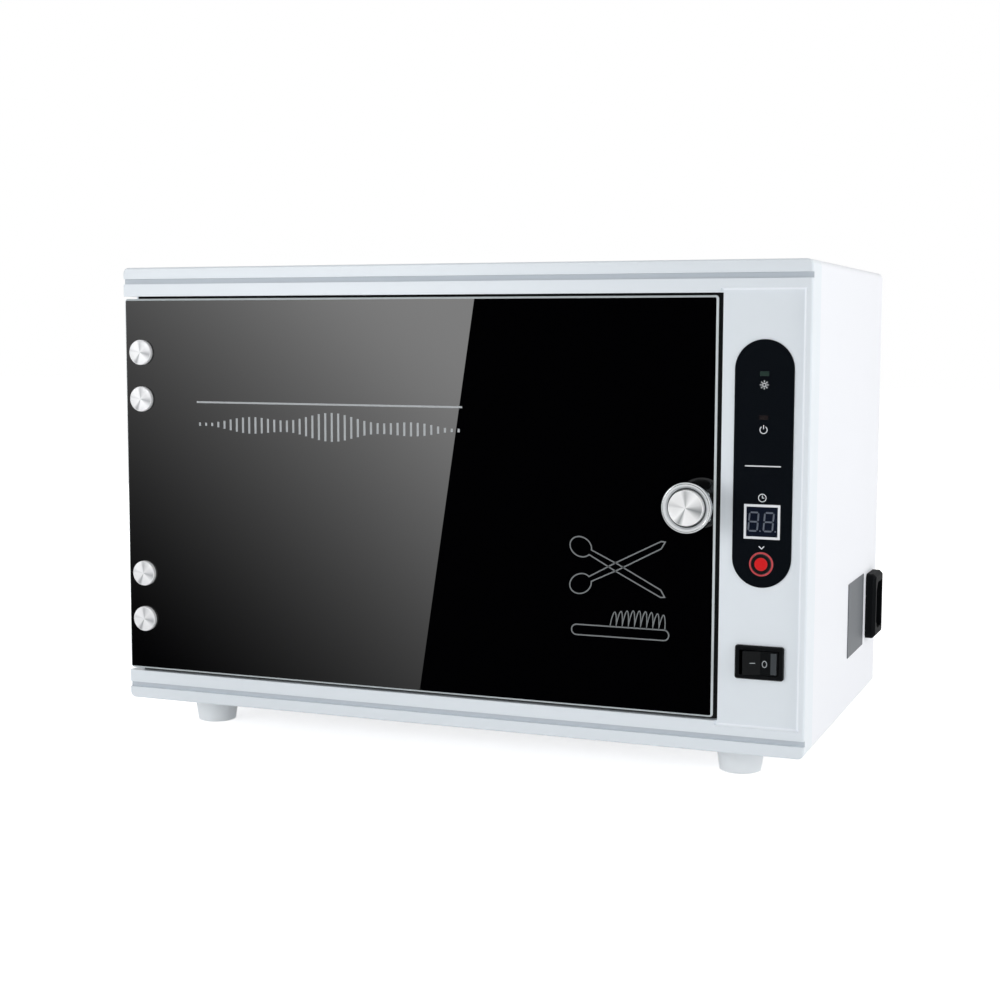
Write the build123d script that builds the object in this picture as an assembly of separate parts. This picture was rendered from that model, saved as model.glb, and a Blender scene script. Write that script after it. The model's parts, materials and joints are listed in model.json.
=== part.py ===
from build123d import *
import os
from math import cos, radians, sin

# Ultraviolet sterilizing cabinet for combs, scissors and chopsticks: a moulded cabinet with a
# side-hung black glass door, a control column at the right and a lamp chamber behind the door.
# All sizes are in millimetres. The model is worked out in the cabinet's own corner frame
# (X from the left side, Y from the rails' front face into the depth, Z from the underside),
# and every piece is moved once, at the end, to the bottom centre of the whole object.

# ---------------------------------------------------------------- overall sizes
WIDTH = 350.0
BODY_HEIGHT = 220.0
DEPTH = 189.0
CORNER_RADIUS = 3.0
REAR_CORNER_RADIUS = 4.0
SHELL_WALL = 2.5

# ---------------------------------------------------------------- front frame
FRAME_DEPTH = 18.0
FRAME_WALL = 2.5
RAIL_HEIGHT = 14.4
RAIL_EDGE_RADIUS = 1.0
GROOVE_INSET = 7.0
GROOVE_WIDTH = 2.6
GROOVE_DEPTH = 2.0
COLUMN_WIDTH = 39.7
COLUMN_RECESS = 1.5
COLUMN_COVE = 1.3
COLUMN_BORDER_SIDE = 2.7
COLUMN_BORDER_END = 12.3
FRAME_LIP_LENGTH = 5.0
FRAME_LIP_WALL = 1.5
SLIDE_FIT = 0.1

# ---------------------------------------------------------------- door
GLASS_THICKNESS = 4.0
GLASS_SETBACK = 0.5
GLASS_BEVEL = 0.9
DOOR_GAP = 1.2
DOOR_GAP_RIGHT = 2.0
DOOR_SIDE_INSET = 0.3
SEAL_THICKNESS = 1.5
SEAL_WIDTH = 3.2
EDGE_SEAL_WIDTH = 3.2
RUNNING_GAP = 0.3
LAND_Y = GLASS_SETBACK + GLASS_THICKNESS + RUNNING_GAP + SEAL_THICKNESS

# ---------------------------------------------------------------- chamber
CHAMBER_LEFT = 22.0
CHAMBER_RIGHT_BORDER = 24.3
CHAMBER_BOTTOM = 27.0
CHAMBER_TOP_BORDER = 27.0
CHAMBER_REAR_GAP = 21.0
LINER_SHEET = 1.0
LINER_FLANGE = 6.0

# ---------------------------------------------------------------- hinges
HINGE_REBATE_WIDTH = 6.0
HINGE_REBATE_DEPTH = 12.5
HINGE_AXIS_X = 2.9
HINGE_AXIS_Y = 8.0
KNUCKLE_RADIUS = 2.2
HINGE_PIN_RADIUS = 1.0
PIN_CLEARANCE = 0.05
LEAF_THICKNESS = 1.5
LEAF_REACH = 18.0
LEAF_HEIGHT = 34.0
MIDDLE_KNUCKLE = 11.6
HINGE_PAD = 0.5
HINGE_SCREW_X = 10.2
HINGE_SCREW_SPACING = 23.5
HINGE_BOTTOM_INSET = 53.4
HINGE_TOP_INSET = 54.2
SCREW_RADIUS = 2.0
SCREW_CLEARANCE = 0.05
GLASS_HOLE_RADIUS = 2.6
NUT_RADIUS = 3.0
CAP_RADIUS = 6.7
CAP_HEIGHT = 1.9
CAP_DOME = 0.35
CAP_CUP_RADIUS = 4.6
CAP_CUP_DEPTH = 1.1
HINGE_SCREW_HEAD_RADIUS = 4.0
FRAME_SCREW_X = 15.7
FRAME_SCREW_RADIUS = 1.4
FRAME_SCREW_HEAD_RADIUS = 2.1
FRAME_SCREW_HEAD = 1.2
FRAME_SCREW_LENGTH = 7.0

# ---------------------------------------------------------------- knob and catch
KNOB_INSET = 9.6
KNOB_Z = 111.3
KNOB_RADIUS = 11.4
KNOB_NECK_RADIUS = 6.0
KNOB_NECK_LENGTH = 8.6
KNOB_HEAD_THICKNESS = 5.6
KNOB_RIM = 1.7
KNOB_GROOVE_DEPTH = 1.8
KNOB_FACE_RADIUS = 7.9
KNOB_FACE_THICKNESS = 0.8
WASHER_THICKNESS = 0.6
WASHER_RADIUS = 6.8
STRIKE_THICKNESS = 1.2
STRIKE_WIDTH = 15.0
STRIKE_HEIGHT = 25.0
KNOB_SCREW_HEAD = 1.5
KNOB_SCREW_HEAD_RADIUS = 4.0
CATCH_WIDTH = 15.0
CATCH_HEIGHT = 11.0
CATCH_DEPTH = 9.0
MAGNET_WIDTH = 11.0
MAGNET_HEIGHT = 6.5

# ---------------------------------------------------------------- control column
CONTROL_INSET = 20.8
OVERLAY_WIDTH = 26.4
OVERLAY_BOTTOM = 75.7
OVERLAY_TOP = 185.2
OVERLAY_THICKNESS = 0.8
OVERLAY_SEAT = 0.4
WORK_LED_Z = 170.2
POWER_LED_Z = 151.0
LED_WIDTH = 4.0
LED_HEIGHT = 2.0
DISPLAY_Z = 105.0
DISPLAY_WIDTH = 14.0
DISPLAY_HEIGHT = 13.2
BUTTON_Z = 86.2
BUTTON_RADIUS = 4.5
BUTTON_BEZEL_WIDTH = 0.75
BUTTON_CLEARANCE = 0.15
BUTTON_PROUD = 0.6
BUTTON_LENS_RADIUS = 2.95
BUTTON_TRAVEL = 0.8
BOARD_Y = 13.0
BOARD_THICKNESS = 1.6
BOARD_WIDTH = 30.0
BOARD_BOTTOM = 70.0
BOARD_TOP = 184.0
STANDOFF_RADIUS = 2.6
REED_Z = 40.0
REED_LENGTH = 14.0
REED_CASE = 4.0
DOOR_MAGNET_RADIUS = 3.0

# ---------------------------------------------------------------- rocker switch
ROCKER_Z = 42.1
ROCKER_WIDTH = 22.0
ROCKER_HEIGHT = 15.2
ROCKER_PROUD = 1.6
ROCKER_BODY_WIDTH = 19.2
ROCKER_BODY_HEIGHT = 13.2
ROCKER_BODY_DEPTH = 17.0
ROCKER_WELL_WIDTH = 17.8
ROCKER_WELL_HEIGHT = 11.2
PADDLE_WIDTH = 15.6
PADDLE_CLEARANCE = 0.3
PADDLE_TILT = 9.0
PADDLE_VALLEY = 4.4
PADDLE_RISE = 1.2
PADDLE_RIB_WIDTH = 2.6
PADDLE_RIB_HEIGHT = 9.6
PADDLE_RIB_INSET = 0.6
PADDLE_RIB_PROUD = 0.4
PADDLE_PIVOT_Y = 4.0
TRUNNION_RADIUS = 1.0
TERMINAL_WIDTH = 4.8
TERMINAL_LENGTH = 7.0

# ---------------------------------------------------------------- mains inlet
INLET_REAR_INSET = 22.5
INLET_Z = 46.0
INLET_FLANGE_DEPTH = 24.0
INLET_FLANGE_HEIGHT = 34.0
INLET_PROUD = 5.2
INLET_BODY_DEPTH = 19.0
INLET_BODY_HEIGHT = 27.5
INLET_BODY_LENGTH = 20.0
INLET_SOCKET_DEPTH = 16.5
INLET_SOCKET_HEIGHT = 24.5
INLET_SOCKET_LENGTH = 17.0
INLET_PIN_SPACING = 7.0
INLET_PIN_OFFSET = 2.0
SIDE_PLATE_LENGTH = 43.0
SIDE_PLATE_HEIGHT = 37.0
SIDE_PLATE_THICKNESS = 0.4
SIDE_PLATE_GAP = 8.5

# ---------------------------------------------------------------- lamp, shelf, ballast
LAMP_LENGTH = 212.0
LAMP_RADIUS = 8.0
LAMP_CAP_LENGTH = 9.0
LAMP_PIN_RADIUS = 1.15
LAMP_PIN_LENGTH = 6.5
LAMP_PIN_SPACING = 4.75
LAMP_DROP = 14.0
LAMP_Y = 95.0
HOLDER_THICKNESS = 8.0
HOLDER_WIDTH = 18.0
REFLECTOR_SHEET = 0.6
REFLECTOR_TOP = 26.0
REFLECTOR_WING = 14.0
SHELF_Z = 90.0
SHELF_ROD_RADIUS = 1.5
SHELF_WIRE_RADIUS = 0.9
SHELF_BEND_RADIUS = 6.0
SHELF_WIRES = 21
SHELF_SIDE_GAP = 2.5
SHELF_FRONT_GAP = 4.0
SHELF_REAR_GAP = 8.0
LEDGE_WIDTH = 8.0
LEDGE_SHEET = 1.2
LEDGE_HEIGHT = 9.0
BALLAST_WIDTH = 30.0
BALLAST_HEIGHT = 24.0
BALLAST_FRONT_GAP = 30.0
BALLAST_REAR_GAP = 13.0
BALLAST_SIDE_GAP = 6.0
BALLAST_EAR = 8.0

# ---------------------------------------------------------------- feet, rear cover
FOOT_HEIGHT = 14.0
FOOT_TOP_RADIUS = 11.6
FOOT_BOTTOM_RADIUS = 9.8
FOOT_SIDE_INSET = 35.0
FOOT_END_INSET = 28.0
FOOT_BORE_RADIUS = 4.2
FOOT_FLOOR = 4.0
FOOT_SCREW_HEAD = 2.4
FOOT_NUT = 3.0
FOOT_SCREW_END = 1.0
COVER_THICKNESS = 1.5
COVER_WIDTH = 54.0
COVER_HEIGHT = 190.0
COVER_RIGHT_INSET = 9.0
COVER_OVERLAP = 7.0
COVER_SCREW_RADIUS = 3.0
COVER_SCREW_HEAD = 1.8
VENT_SLOT_WIDTH = 3.0
VENT_PITCH = 8.0
VENT_SLOTS = 7

# ---------------------------------------------------------------- derived places
CONTROL_X = WIDTH - CONTROL_INSET
HINGE_HEIGHTS = (HINGE_BOTTOM_INSET, BODY_HEIGHT - HINGE_TOP_INSET)
BALLAST_FRONT = FRAME_DEPTH + BALLAST_FRONT_GAP
BALLAST_LENGTH = (DEPTH - FOOT_END_INSET - BALLAST_REAR_GAP - BALLAST_EAR) - BALLAST_FRONT
INLET_Y = DEPTH - INLET_REAR_INSET
GLASS_BACK = GLASS_SETBACK + GLASS_THICKNESS
FRAME_SCREW_SEAT = HINGE_AXIS_Y + KNUCKLE_RADIUS - LEAF_THICKNESS
COLUMN_LEFT = WIDTH - COLUMN_WIDTH
COLUMN_RIGHT = WIDTH - COLUMN_BORDER_SIDE
COLUMN_BACK = COLUMN_RECESS + FRAME_WALL
LAND_BACK = LAND_Y + FRAME_WALL
DOOR_LEFT = DOOR_SIDE_INSET
DOOR_RIGHT = COLUMN_LEFT - DOOR_GAP_RIGHT
DOOR_BOTTOM = RAIL_HEIGHT + DOOR_GAP
DOOR_TOP = BODY_HEIGHT - RAIL_HEIGHT - DOOR_GAP
CHAMBER_RIGHT = COLUMN_LEFT - CHAMBER_RIGHT_BORDER
CHAMBER_TOP = BODY_HEIGHT - CHAMBER_TOP_BORDER
LINER_BACK = DEPTH - CHAMBER_REAR_GAP
KNOB_X = DOOR_RIGHT - KNOB_INSET
KNOB_BASE_Y = GLASS_SETBACK - WASHER_THICKNESS
KNOB_FRONT_Y = KNOB_BASE_Y - KNOB_NECK_LENGTH - KNOB_HEAD_THICKNESS
OVERLAY_BACK = COLUMN_RECESS + OVERLAY_SEAT
OVERLAY_FRONT = OVERLAY_BACK - OVERLAY_THICKNESS
ROCKER_FRONT = COLUMN_RECESS - ROCKER_PROUD
CHAMBER_MID_X = (CHAMBER_LEFT + CHAMBER_RIGHT) / 2
LAMP_Z = CHAMBER_TOP - LAMP_DROP
COVER_RIGHT = WIDTH - COVER_RIGHT_INSET
COVER_LEFT = COVER_RIGHT - COVER_WIDTH
COVER_BOTTOM = (BODY_HEIGHT - COVER_HEIGHT) / 2
COVER_TOP = COVER_BOTTOM + COVER_HEIGHT

# From the corner frame to the bottom centre of the whole object's box.
OBJECT_FRONT = KNOB_FRONT_Y - KNOB_FACE_THICKNESS
OBJECT_REAR = DEPTH + COVER_THICKNESS + COVER_SCREW_HEAD
TO_OBJECT = Location((-(WIDTH + INLET_PROUD) / 2, -(OBJECT_FRONT + OBJECT_REAR) / 2, FOOT_HEIGHT))


# ---------------------------------------------------------------- building helpers
def block(x0, x1, y0, y1, z0, z1):
    """A box between two corners."""
    return Pos((x0 + x1) / 2, (y0 + y1) / 2, (z0 + z1) / 2) * Box(x1 - x0, y1 - y0, z1 - z0)


def plate(x0, x1, z0, z1, y0, y1, radius):
    """A rounded rectangle in the XZ plane, carried from y0 to y1."""
    plane = Plane(origin=((x0 + x1) / 2, y0, (z0 + z1) / 2), x_dir=(1, 0, 0), z_dir=(0, 1, 0))
    return extrude(plane * RectangleRounded(x1 - x0, z1 - z0, radius), y1 - y0)


def rod_y(x, z, y0, y1, radius):
    """A cylinder along Y."""
    return Pos(x, (y0 + y1) / 2, z) * Rot(90, 0, 0) * Cylinder(radius, y1 - y0)


def rod_x(y, z, x0, x1, radius):
    """A cylinder along X."""
    return Pos((x0 + x1) / 2, y, z) * Rot(0, 90, 0) * Cylinder(radius, x1 - x0)


def rod_z(x, y, z0, z1, radius):
    """A cylinder along Z."""
    return Pos(x, y, (z0 + z1) / 2) * Cylinder(radius, z1 - z0)


def turned_y(x, z, points):
    """A profile of (radius, y) points, turned about an axis along Y."""
    outline = make_face(Polyline(*[(radius, y, 0) for radius, y in points], close=True))
    return Pos(x, 0, z) * revolve(outline, Axis.Y)


def group(pieces):
    """Separate solids that share one node."""
    return Compound([solid for piece in pieces for solid in piece.solids()])


# ---------------------------------------------------------------- front frame
def frame_outer():
    body = plate(0, WIDTH, 0, BODY_HEIGHT, 0, FRAME_DEPTH, CORNER_RADIUS)
    front_edges = body.faces().sort_by(Axis.Y)[0].edges()
    return fillet(front_edges, RAIL_EDGE_RADIUS)


def door_rebate():
    """The door's bay between the rails, with the deeper channel for the hinge knuckles."""
    bay = block(-1, COLUMN_LEFT, -1, LAND_Y, RAIL_HEIGHT, BODY_HEIGHT - RAIL_HEIGHT)
    channel = block(-1, HINGE_REBATE_WIDTH, -1, HINGE_REBATE_DEPTH,
                    RAIL_HEIGHT, BODY_HEIGHT - RAIL_HEIGHT)
    return bay + channel


def rail_grooves():
    low = block(-1, WIDTH + 1, -1, GROOVE_DEPTH,
                GROOVE_INSET - GROOVE_WIDTH / 2, GROOVE_INSET + GROOVE_WIDTH / 2)
    return [low, Pos(0, 0, BODY_HEIGHT - 2 * GROOVE_INSET) * low]


def column_recess():
    """The shallow dished panel of the control column, coved at its border and open to the door."""
    recess = block(COLUMN_LEFT - 1, COLUMN_RIGHT, -1, COLUMN_RECESS,
                   COLUMN_BORDER_END, BODY_HEIGHT - COLUMN_BORDER_END)
    floor_edges = recess.faces().sort_by(Axis.Y)[-1].edges()
    return fillet(floor_edges, COLUMN_COVE)


def frame_hollow():
    """The moulding's open back: one wall behind the land, the rails and the column."""
    rear = FRAME_DEPTH + 1
    inner = block(FRAME_WALL + HINGE_REBATE_WIDTH, WIDTH - FRAME_WALL, LAND_BACK, rear,
                  FRAME_WALL, BODY_HEIGHT - FRAME_WALL)
    inner -= block(CHAMBER_LEFT - FRAME_WALL, CHAMBER_RIGHT + FRAME_WALL, 0, rear + 1,
                   CHAMBER_BOTTOM - FRAME_WALL, CHAMBER_TOP + FRAME_WALL)
    column = block(COLUMN_LEFT + FRAME_WALL, WIDTH - FRAME_WALL, COLUMN_BACK, rear,
                   COLUMN_BORDER_END + FRAME_WALL, BODY_HEIGHT - COLUMN_BORDER_END - FRAME_WALL)
    rail = block(FRAME_WALL + HINGE_REBATE_WIDTH, WIDTH - FRAME_WALL, GROOVE_DEPTH + FRAME_WALL,
                 rear, FRAME_WALL, RAIL_HEIGHT - FRAME_WALL)
    upper_rail = Pos(0, 0, BODY_HEIGHT - RAIL_HEIGHT) * rail
    for height in HINGE_HEIGHTS:
        inner -= block(0, CHAMBER_LEFT, 0, rear + 1, height - LEAF_HEIGHT / 2 - FRAME_WALL,
                       height + LEAF_HEIGHT / 2 + FRAME_WALL)
    return inner + column + rail + upper_rail


def hinge_pockets():
    pockets = []
    for height in HINGE_HEIGHTS:
        half = LEAF_HEIGHT / 2 + RUNNING_GAP
        pockets.append(block(HINGE_REBATE_WIDTH - 1, LEAF_REACH + RUNNING_GAP, 0,
                             HINGE_AXIS_Y + KNUCKLE_RADIUS, height - half, height + half))
        for z in hinge_screw_heights(height):
            pockets.append(rod_y(FRAME_SCREW_X, z, 0, FRAME_SCREW_SEAT + FRAME_SCREW_LENGTH + 0.3,
                                 FRAME_SCREW_RADIUS))
    return pockets


def column_cutouts():
    """Seat of the control overlay, and the holes for lights, display, button and rocker."""
    overlay_radius = OVERLAY_WIDTH / 2 + SLIDE_FIT
    seat = plate(CONTROL_X - overlay_radius, CONTROL_X + overlay_radius,
                 OVERLAY_BOTTOM - SLIDE_FIT, OVERLAY_TOP + SLIDE_FIT,
                 0, OVERLAY_BACK, overlay_radius - 0.01)
    cuts = [seat]
    for z in (WORK_LED_Z, POWER_LED_Z):
        cuts.append(control_window(z, LED_WIDTH, LED_HEIGHT, SLIDE_FIT))
    cuts.append(control_window(DISPLAY_Z, DISPLAY_WIDTH, DISPLAY_HEIGHT, SLIDE_FIT))
    cuts.append(rod_y(CONTROL_X, BUTTON_Z, 0, COLUMN_BACK + 1, BUTTON_RADIUS + BUTTON_CLEARANCE))
    cuts.append(block(CONTROL_X - ROCKER_BODY_WIDTH / 2 - SLIDE_FIT,
                      CONTROL_X + ROCKER_BODY_WIDTH / 2 + SLIDE_FIT, 0, COLUMN_BACK + 1,
                      ROCKER_Z - ROCKER_BODY_HEIGHT / 2 - SLIDE_FIT,
                      ROCKER_Z + ROCKER_BODY_HEIGHT / 2 + SLIDE_FIT))
    return cuts


def control_window(z, width, height, clearance):
    """A rectangular hole through the control column's wall."""
    return block(CONTROL_X - width / 2 - clearance, CONTROL_X + width / 2 + clearance,
                 0, COLUMN_BACK + 1, z - height / 2 - clearance, z + height / 2 + clearance)


def catch_pockets():
    """The hole for the magnetic catch and the dimple for the knob screw's head."""
    bottom = catch_bottom()
    hole = block(KNOB_X - CATCH_WIDTH / 2 - SLIDE_FIT, KNOB_X + CATCH_WIDTH / 2 + SLIDE_FIT,
                 0, LAND_BACK + 1, bottom - SLIDE_FIT, bottom + CATCH_HEIGHT + SLIDE_FIT)
    dimple = rod_y(KNOB_X, KNOB_Z, 0, GLASS_BACK + STRIKE_THICKNESS + KNOB_SCREW_HEAD + RUNNING_GAP,
                   KNOB_SCREW_HEAD_RADIUS + 1)
    return [hole, dimple]


def catch_bottom():
    return KNOB_Z - KNOB_SCREW_HEAD_RADIUS - 1 - SLIDE_FIT - 0.6 - CATCH_HEIGHT


def frame_lip():
    """The thin tongue that locates the frame inside the cabinet shell, rooted in its wall."""
    inset = SHELL_WALL + SLIDE_FIT
    root = FRAME_WALL / 2
    ring = plate(inset, WIDTH - inset, inset, BODY_HEIGHT - inset,
                 FRAME_DEPTH - FRAME_WALL, FRAME_DEPTH + FRAME_LIP_LENGTH, CORNER_RADIUS)
    ring += plate(root, WIDTH - root, root, BODY_HEIGHT - root,
                  FRAME_DEPTH - FRAME_WALL, FRAME_DEPTH, CORNER_RADIUS)
    hole = inset + FRAME_LIP_WALL
    ring -= plate(hole, WIDTH - hole, hole, BODY_HEIGHT - hole,
                  0, FRAME_DEPTH + FRAME_LIP_LENGTH + 1, CORNER_RADIUS)
    return ring


def front_frame():
    frame = frame_outer() - door_rebate() - rail_grooves() - column_recess() - frame_hollow()
    frame += frame_lip()
    frame -= block(CHAMBER_LEFT, CHAMBER_RIGHT, -1, FRAME_DEPTH + 1, CHAMBER_BOTTOM, CHAMBER_TOP)
    frame -= hinge_pockets() + column_cutouts() + catch_pockets()
    return frame


# ---------------------------------------------------------------- cabinet shell and rear cover
def shell_solid(inset, y0, y1):
    """The cabinet's outer form, moved in by an inset, with round rear upright edges."""
    tube = plate(inset, WIDTH - inset, inset, BODY_HEIGHT - inset, y0, y1, CORNER_RADIUS)
    rear_edges = tube.faces().sort_by(Axis.Y)[-1].edges().filter_by(Axis.Z)
    return fillet(rear_edges, REAR_CORNER_RADIUS - inset)


def cabinet_shell():
    shell = shell_solid(0, FRAME_DEPTH, DEPTH)
    shell -= shell_solid(SHELL_WALL, FRAME_DEPTH - 1, DEPTH - SHELL_WALL)
    shell -= block(COVER_LEFT + COVER_OVERLAP, COVER_RIGHT - COVER_OVERLAP, DEPTH - 2 * SHELL_WALL, DEPTH + 1,
                   COVER_BOTTOM + COVER_OVERLAP, COVER_TOP - COVER_OVERLAP)
    shell -= block(WIDTH - SHELL_WALL - 1, WIDTH + 1,
                   INLET_Y - INLET_BODY_DEPTH / 2 - SLIDE_FIT,
                   INLET_Y + INLET_BODY_DEPTH / 2 + SLIDE_FIT,
                   INLET_Z - INLET_BODY_HEIGHT / 2 - SLIDE_FIT,
                   INLET_Z + INLET_BODY_HEIGHT / 2 + SLIDE_FIT)
    for x, y in foot_places():
        shell -= rod_z(x, y, -1, SHELL_WALL + 1, SCREW_RADIUS + SCREW_CLEARANCE)
    for x, z in cover_screw_places():
        shell -= rod_y(x, z, DEPTH - 2 * SHELL_WALL, DEPTH + 1, FRAME_SCREW_RADIUS + SCREW_CLEARANCE)
    return shell


def cover_screw_places():
    inset = COVER_OVERLAP / 2
    return [(x, z) for x in (COVER_LEFT + inset, COVER_RIGHT - inset)
            for z in (COVER_BOTTOM + inset, COVER_TOP - inset)]


def rear_cover():
    """The screwed plate over the electronics bay, with two banks of ventilation slots."""
    cover = plate(COVER_LEFT, COVER_RIGHT, COVER_BOTTOM, COVER_TOP, DEPTH, DEPTH + COVER_THICKNESS,
                  CORNER_RADIUS)
    slot_left = COVER_LEFT + 2 * COVER_OVERLAP
    slot_right = COVER_RIGHT - 2 * COVER_OVERLAP
    bank = COVER_BOTTOM + 3 * COVER_OVERLAP
    slots = []
    for count in range(VENT_SLOTS):
        for z in (bank + count * VENT_PITCH, BODY_HEIGHT - bank - count * VENT_PITCH):
            slots.append(plate(slot_left, slot_right, z - VENT_SLOT_WIDTH / 2,
                               z + VENT_SLOT_WIDTH / 2, DEPTH - 1, DEPTH + COVER_THICKNESS + 1,
                               VENT_SLOT_WIDTH / 2 - 0.01))
    holes = [rod_y(x, z, DEPTH - 1, DEPTH + COVER_THICKNESS + 1,
                   FRAME_SCREW_RADIUS + SCREW_CLEARANCE) for x, z in cover_screw_places()]
    return cover - slots - holes


def rear_cover_screws():
    seat = DEPTH + COVER_THICKNESS
    screws = []
    for x, z in cover_screw_places():
        screw = turned_y(x, z, [(0, seat + COVER_SCREW_HEAD), (COVER_SCREW_RADIUS * 0.6,
                                                               seat + COVER_SCREW_HEAD),
                                (COVER_SCREW_RADIUS, seat + COVER_SCREW_HEAD * 0.5),
                                (COVER_SCREW_RADIUS, seat), (FRAME_SCREW_RADIUS, seat),
                                (FRAME_SCREW_RADIUS, DEPTH - SHELL_WALL - 2),
                                (0, DEPTH - SHELL_WALL - 2)])
        screws.append(screw)
    return group(screws)


# ---------------------------------------------------------------- chamber
def chamber_liner():
    """A folded sheet box with a flange that is trapped behind the front frame."""
    outer = block(CHAMBER_LEFT - LINER_SHEET, CHAMBER_RIGHT + LINER_SHEET, FRAME_DEPTH,
                  LINER_BACK + LINER_SHEET, CHAMBER_BOTTOM - LINER_SHEET, CHAMBER_TOP + LINER_SHEET)
    flange = block(CHAMBER_LEFT - LINER_FLANGE, CHAMBER_RIGHT + LINER_FLANGE, FRAME_DEPTH,
                   FRAME_DEPTH + LINER_SHEET, CHAMBER_BOTTOM - LINER_FLANGE,
                   CHAMBER_TOP + LINER_FLANGE)
    inside = block(CHAMBER_LEFT, CHAMBER_RIGHT, FRAME_DEPTH - 1, LINER_BACK,
                   CHAMBER_BOTTOM, CHAMBER_TOP)
    return outer + flange - inside


def shelf_ledges():
    """Two angles on the chamber's side walls; the wire shelf slides on them."""
    top = SHELF_Z - SHELF_ROD_RADIUS - 2 * RUNNING_GAP
    front = FRAME_DEPTH + SHELF_FRONT_GAP
    rear = LINER_BACK - SHELF_REAR_GAP
    left = block(CHAMBER_LEFT, CHAMBER_LEFT + LEDGE_WIDTH, front, rear, top - LEDGE_SHEET, top)
    left += block(CHAMBER_LEFT, CHAMBER_LEFT + LEDGE_SHEET, front, rear, top - LEDGE_HEIGHT, top)
    right = mirror(left, Plane.YZ.offset(CHAMBER_MID_X))
    return group([left, right])


def wire_shelf():
    """A rod frame with cross wires from front to rear, lying on two carrying wires."""
    x0 = CHAMBER_LEFT + SHELF_SIDE_GAP + SHELF_ROD_RADIUS
    x1 = CHAMBER_RIGHT - SHELF_SIDE_GAP - SHELF_ROD_RADIUS
    y0 = FRAME_DEPTH + SHELF_FRONT_GAP + SHELF_ROD_RADIUS
    y1 = LINER_BACK - SHELF_REAR_GAP - SHELF_ROD_RADIUS
    bend = SHELF_BEND_RADIUS
    frame = [rod_x(y, SHELF_Z, x0 + bend, x1 - bend, SHELF_ROD_RADIUS) for y in (y0, y1)]
    frame += [rod_y(x, SHELF_Z, y0 + bend, y1 - bend, SHELF_ROD_RADIUS) for x in (x0, x1)]
    frame += [rod_bend(x1 - bend, y1 - bend, 0), rod_bend(x0 + bend, y1 - bend, 90),
              rod_bend(x0 + bend, y0 + bend, 180), rod_bend(x1 - bend, y0 + bend, 270)]
    pitch = (x1 - x0) / (SHELF_WIRES + 1)
    weld = SHELF_ROD_RADIUS / 4
    wires = [rod_y(x0 + pitch * (count + 1), SHELF_Z + weld, y0 - weld, y1 + weld,
                   SHELF_WIRE_RADIUS) for count in range(SHELF_WIRES)]
    carriers = [rod_x(y0 + (y1 - y0) * share, SHELF_Z - 2.5 * weld, x0 - weld, x1 + weld,
                      SHELF_WIRE_RADIUS) for share in (1 / 3, 2 / 3)]
    return frame[0] + frame[1:] + wires + carriers


def rod_bend(x, y, turn):
    """A quarter ring of rod at a corner of the shelf."""
    section = Plane((SHELF_BEND_RADIUS, 0, 0), x_dir=(1, 0, 0), z_dir=(0, 1, 0)) * Circle(
        SHELF_ROD_RADIUS)
    return Pos(x, y, SHELF_Z) * Rot(0, 0, turn) * revolve(section, Axis.Z, 90)


def door_seal():
    """The foam strip round the chamber's mouth that the glass closes on."""
    ring = block(CHAMBER_LEFT - SEAL_WIDTH, CHAMBER_RIGHT + SEAL_WIDTH, LAND_Y - SEAL_THICKNESS,
                 LAND_Y, CHAMBER_BOTTOM - SEAL_WIDTH, CHAMBER_TOP + SEAL_WIDTH)
    return ring - block(CHAMBER_LEFT, CHAMBER_RIGHT, 0, LAND_Y + 1, CHAMBER_BOTTOM, CHAMBER_TOP)


def edge_seal():
    """The dark strip on the land behind the door's top, right and bottom edges."""
    top = BODY_HEIGHT - RAIL_HEIGHT
    strip = block(HINGE_REBATE_WIDTH, COLUMN_LEFT, LAND_Y - SEAL_THICKNESS, LAND_Y,
                  RAIL_HEIGHT, top)
    return strip - block(0, COLUMN_LEFT - EDGE_SEAL_WIDTH, 0, LAND_Y + 1,
                         RAIL_HEIGHT + EDGE_SEAL_WIDTH, top - EDGE_SEAL_WIDTH)


# ---------------------------------------------------------------- lamp
def lamp_pin_offsets():
    return [(LAMP_Y, LAMP_Z - LAMP_PIN_SPACING / 2), (LAMP_Y, LAMP_Z + LAMP_PIN_SPACING / 2)]


def lamp_ends():
    """The tube's two ends as (end of the glass, direction outwards)."""
    return [(CHAMBER_MID_X - LAMP_LENGTH / 2, -1), (CHAMBER_MID_X + LAMP_LENGTH / 2, 1)]


def uv_tube():
    half = LAMP_LENGTH / 2 - LAMP_CAP_LENGTH
    tube = rod_x(LAMP_Y, LAMP_Z, CHAMBER_MID_X - half, CHAMBER_MID_X + half, LAMP_RADIUS - 0.4)
    return tube


def lamp_end_caps():
    caps = []
    for end, outwards in lamp_ends():
        inner = end - outwards * LAMP_CAP_LENGTH
        tip = end + outwards * LAMP_PIN_LENGTH
        cap = rod_x(LAMP_Y, LAMP_Z, min(inner, end), max(inner, end), LAMP_RADIUS)
        for y, z in lamp_pin_offsets():
            cap += rod_x(y, z, min(end, tip), max(end, tip), LAMP_PIN_RADIUS)
        caps.append(cap)
    return group(caps)


def lamp_holders():
    """Two sockets that hang from the chamber's ceiling and take the lamp's pins."""
    holders = []
    for end, outwards in lamp_ends():
        face = end + outwards * SLIDE_FIT
        back = face + outwards * HOLDER_THICKNESS
        x0 = min(face, back)
        x1 = max(face, back)
        holder = block(x0, x1, LAMP_Y - HOLDER_WIDTH / 2, LAMP_Y + HOLDER_WIDTH / 2,
                       LAMP_Z, CHAMBER_TOP)
        holder += rod_x(LAMP_Y, LAMP_Z, x0, x1, HOLDER_WIDTH / 2)
        for y, z in lamp_pin_offsets():
            holder -= rod_x(y, z, x0 - 1, x1 + 1, LAMP_PIN_RADIUS + SLIDE_FIT)
        holders.append(holder)
    return group(holders)


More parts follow.
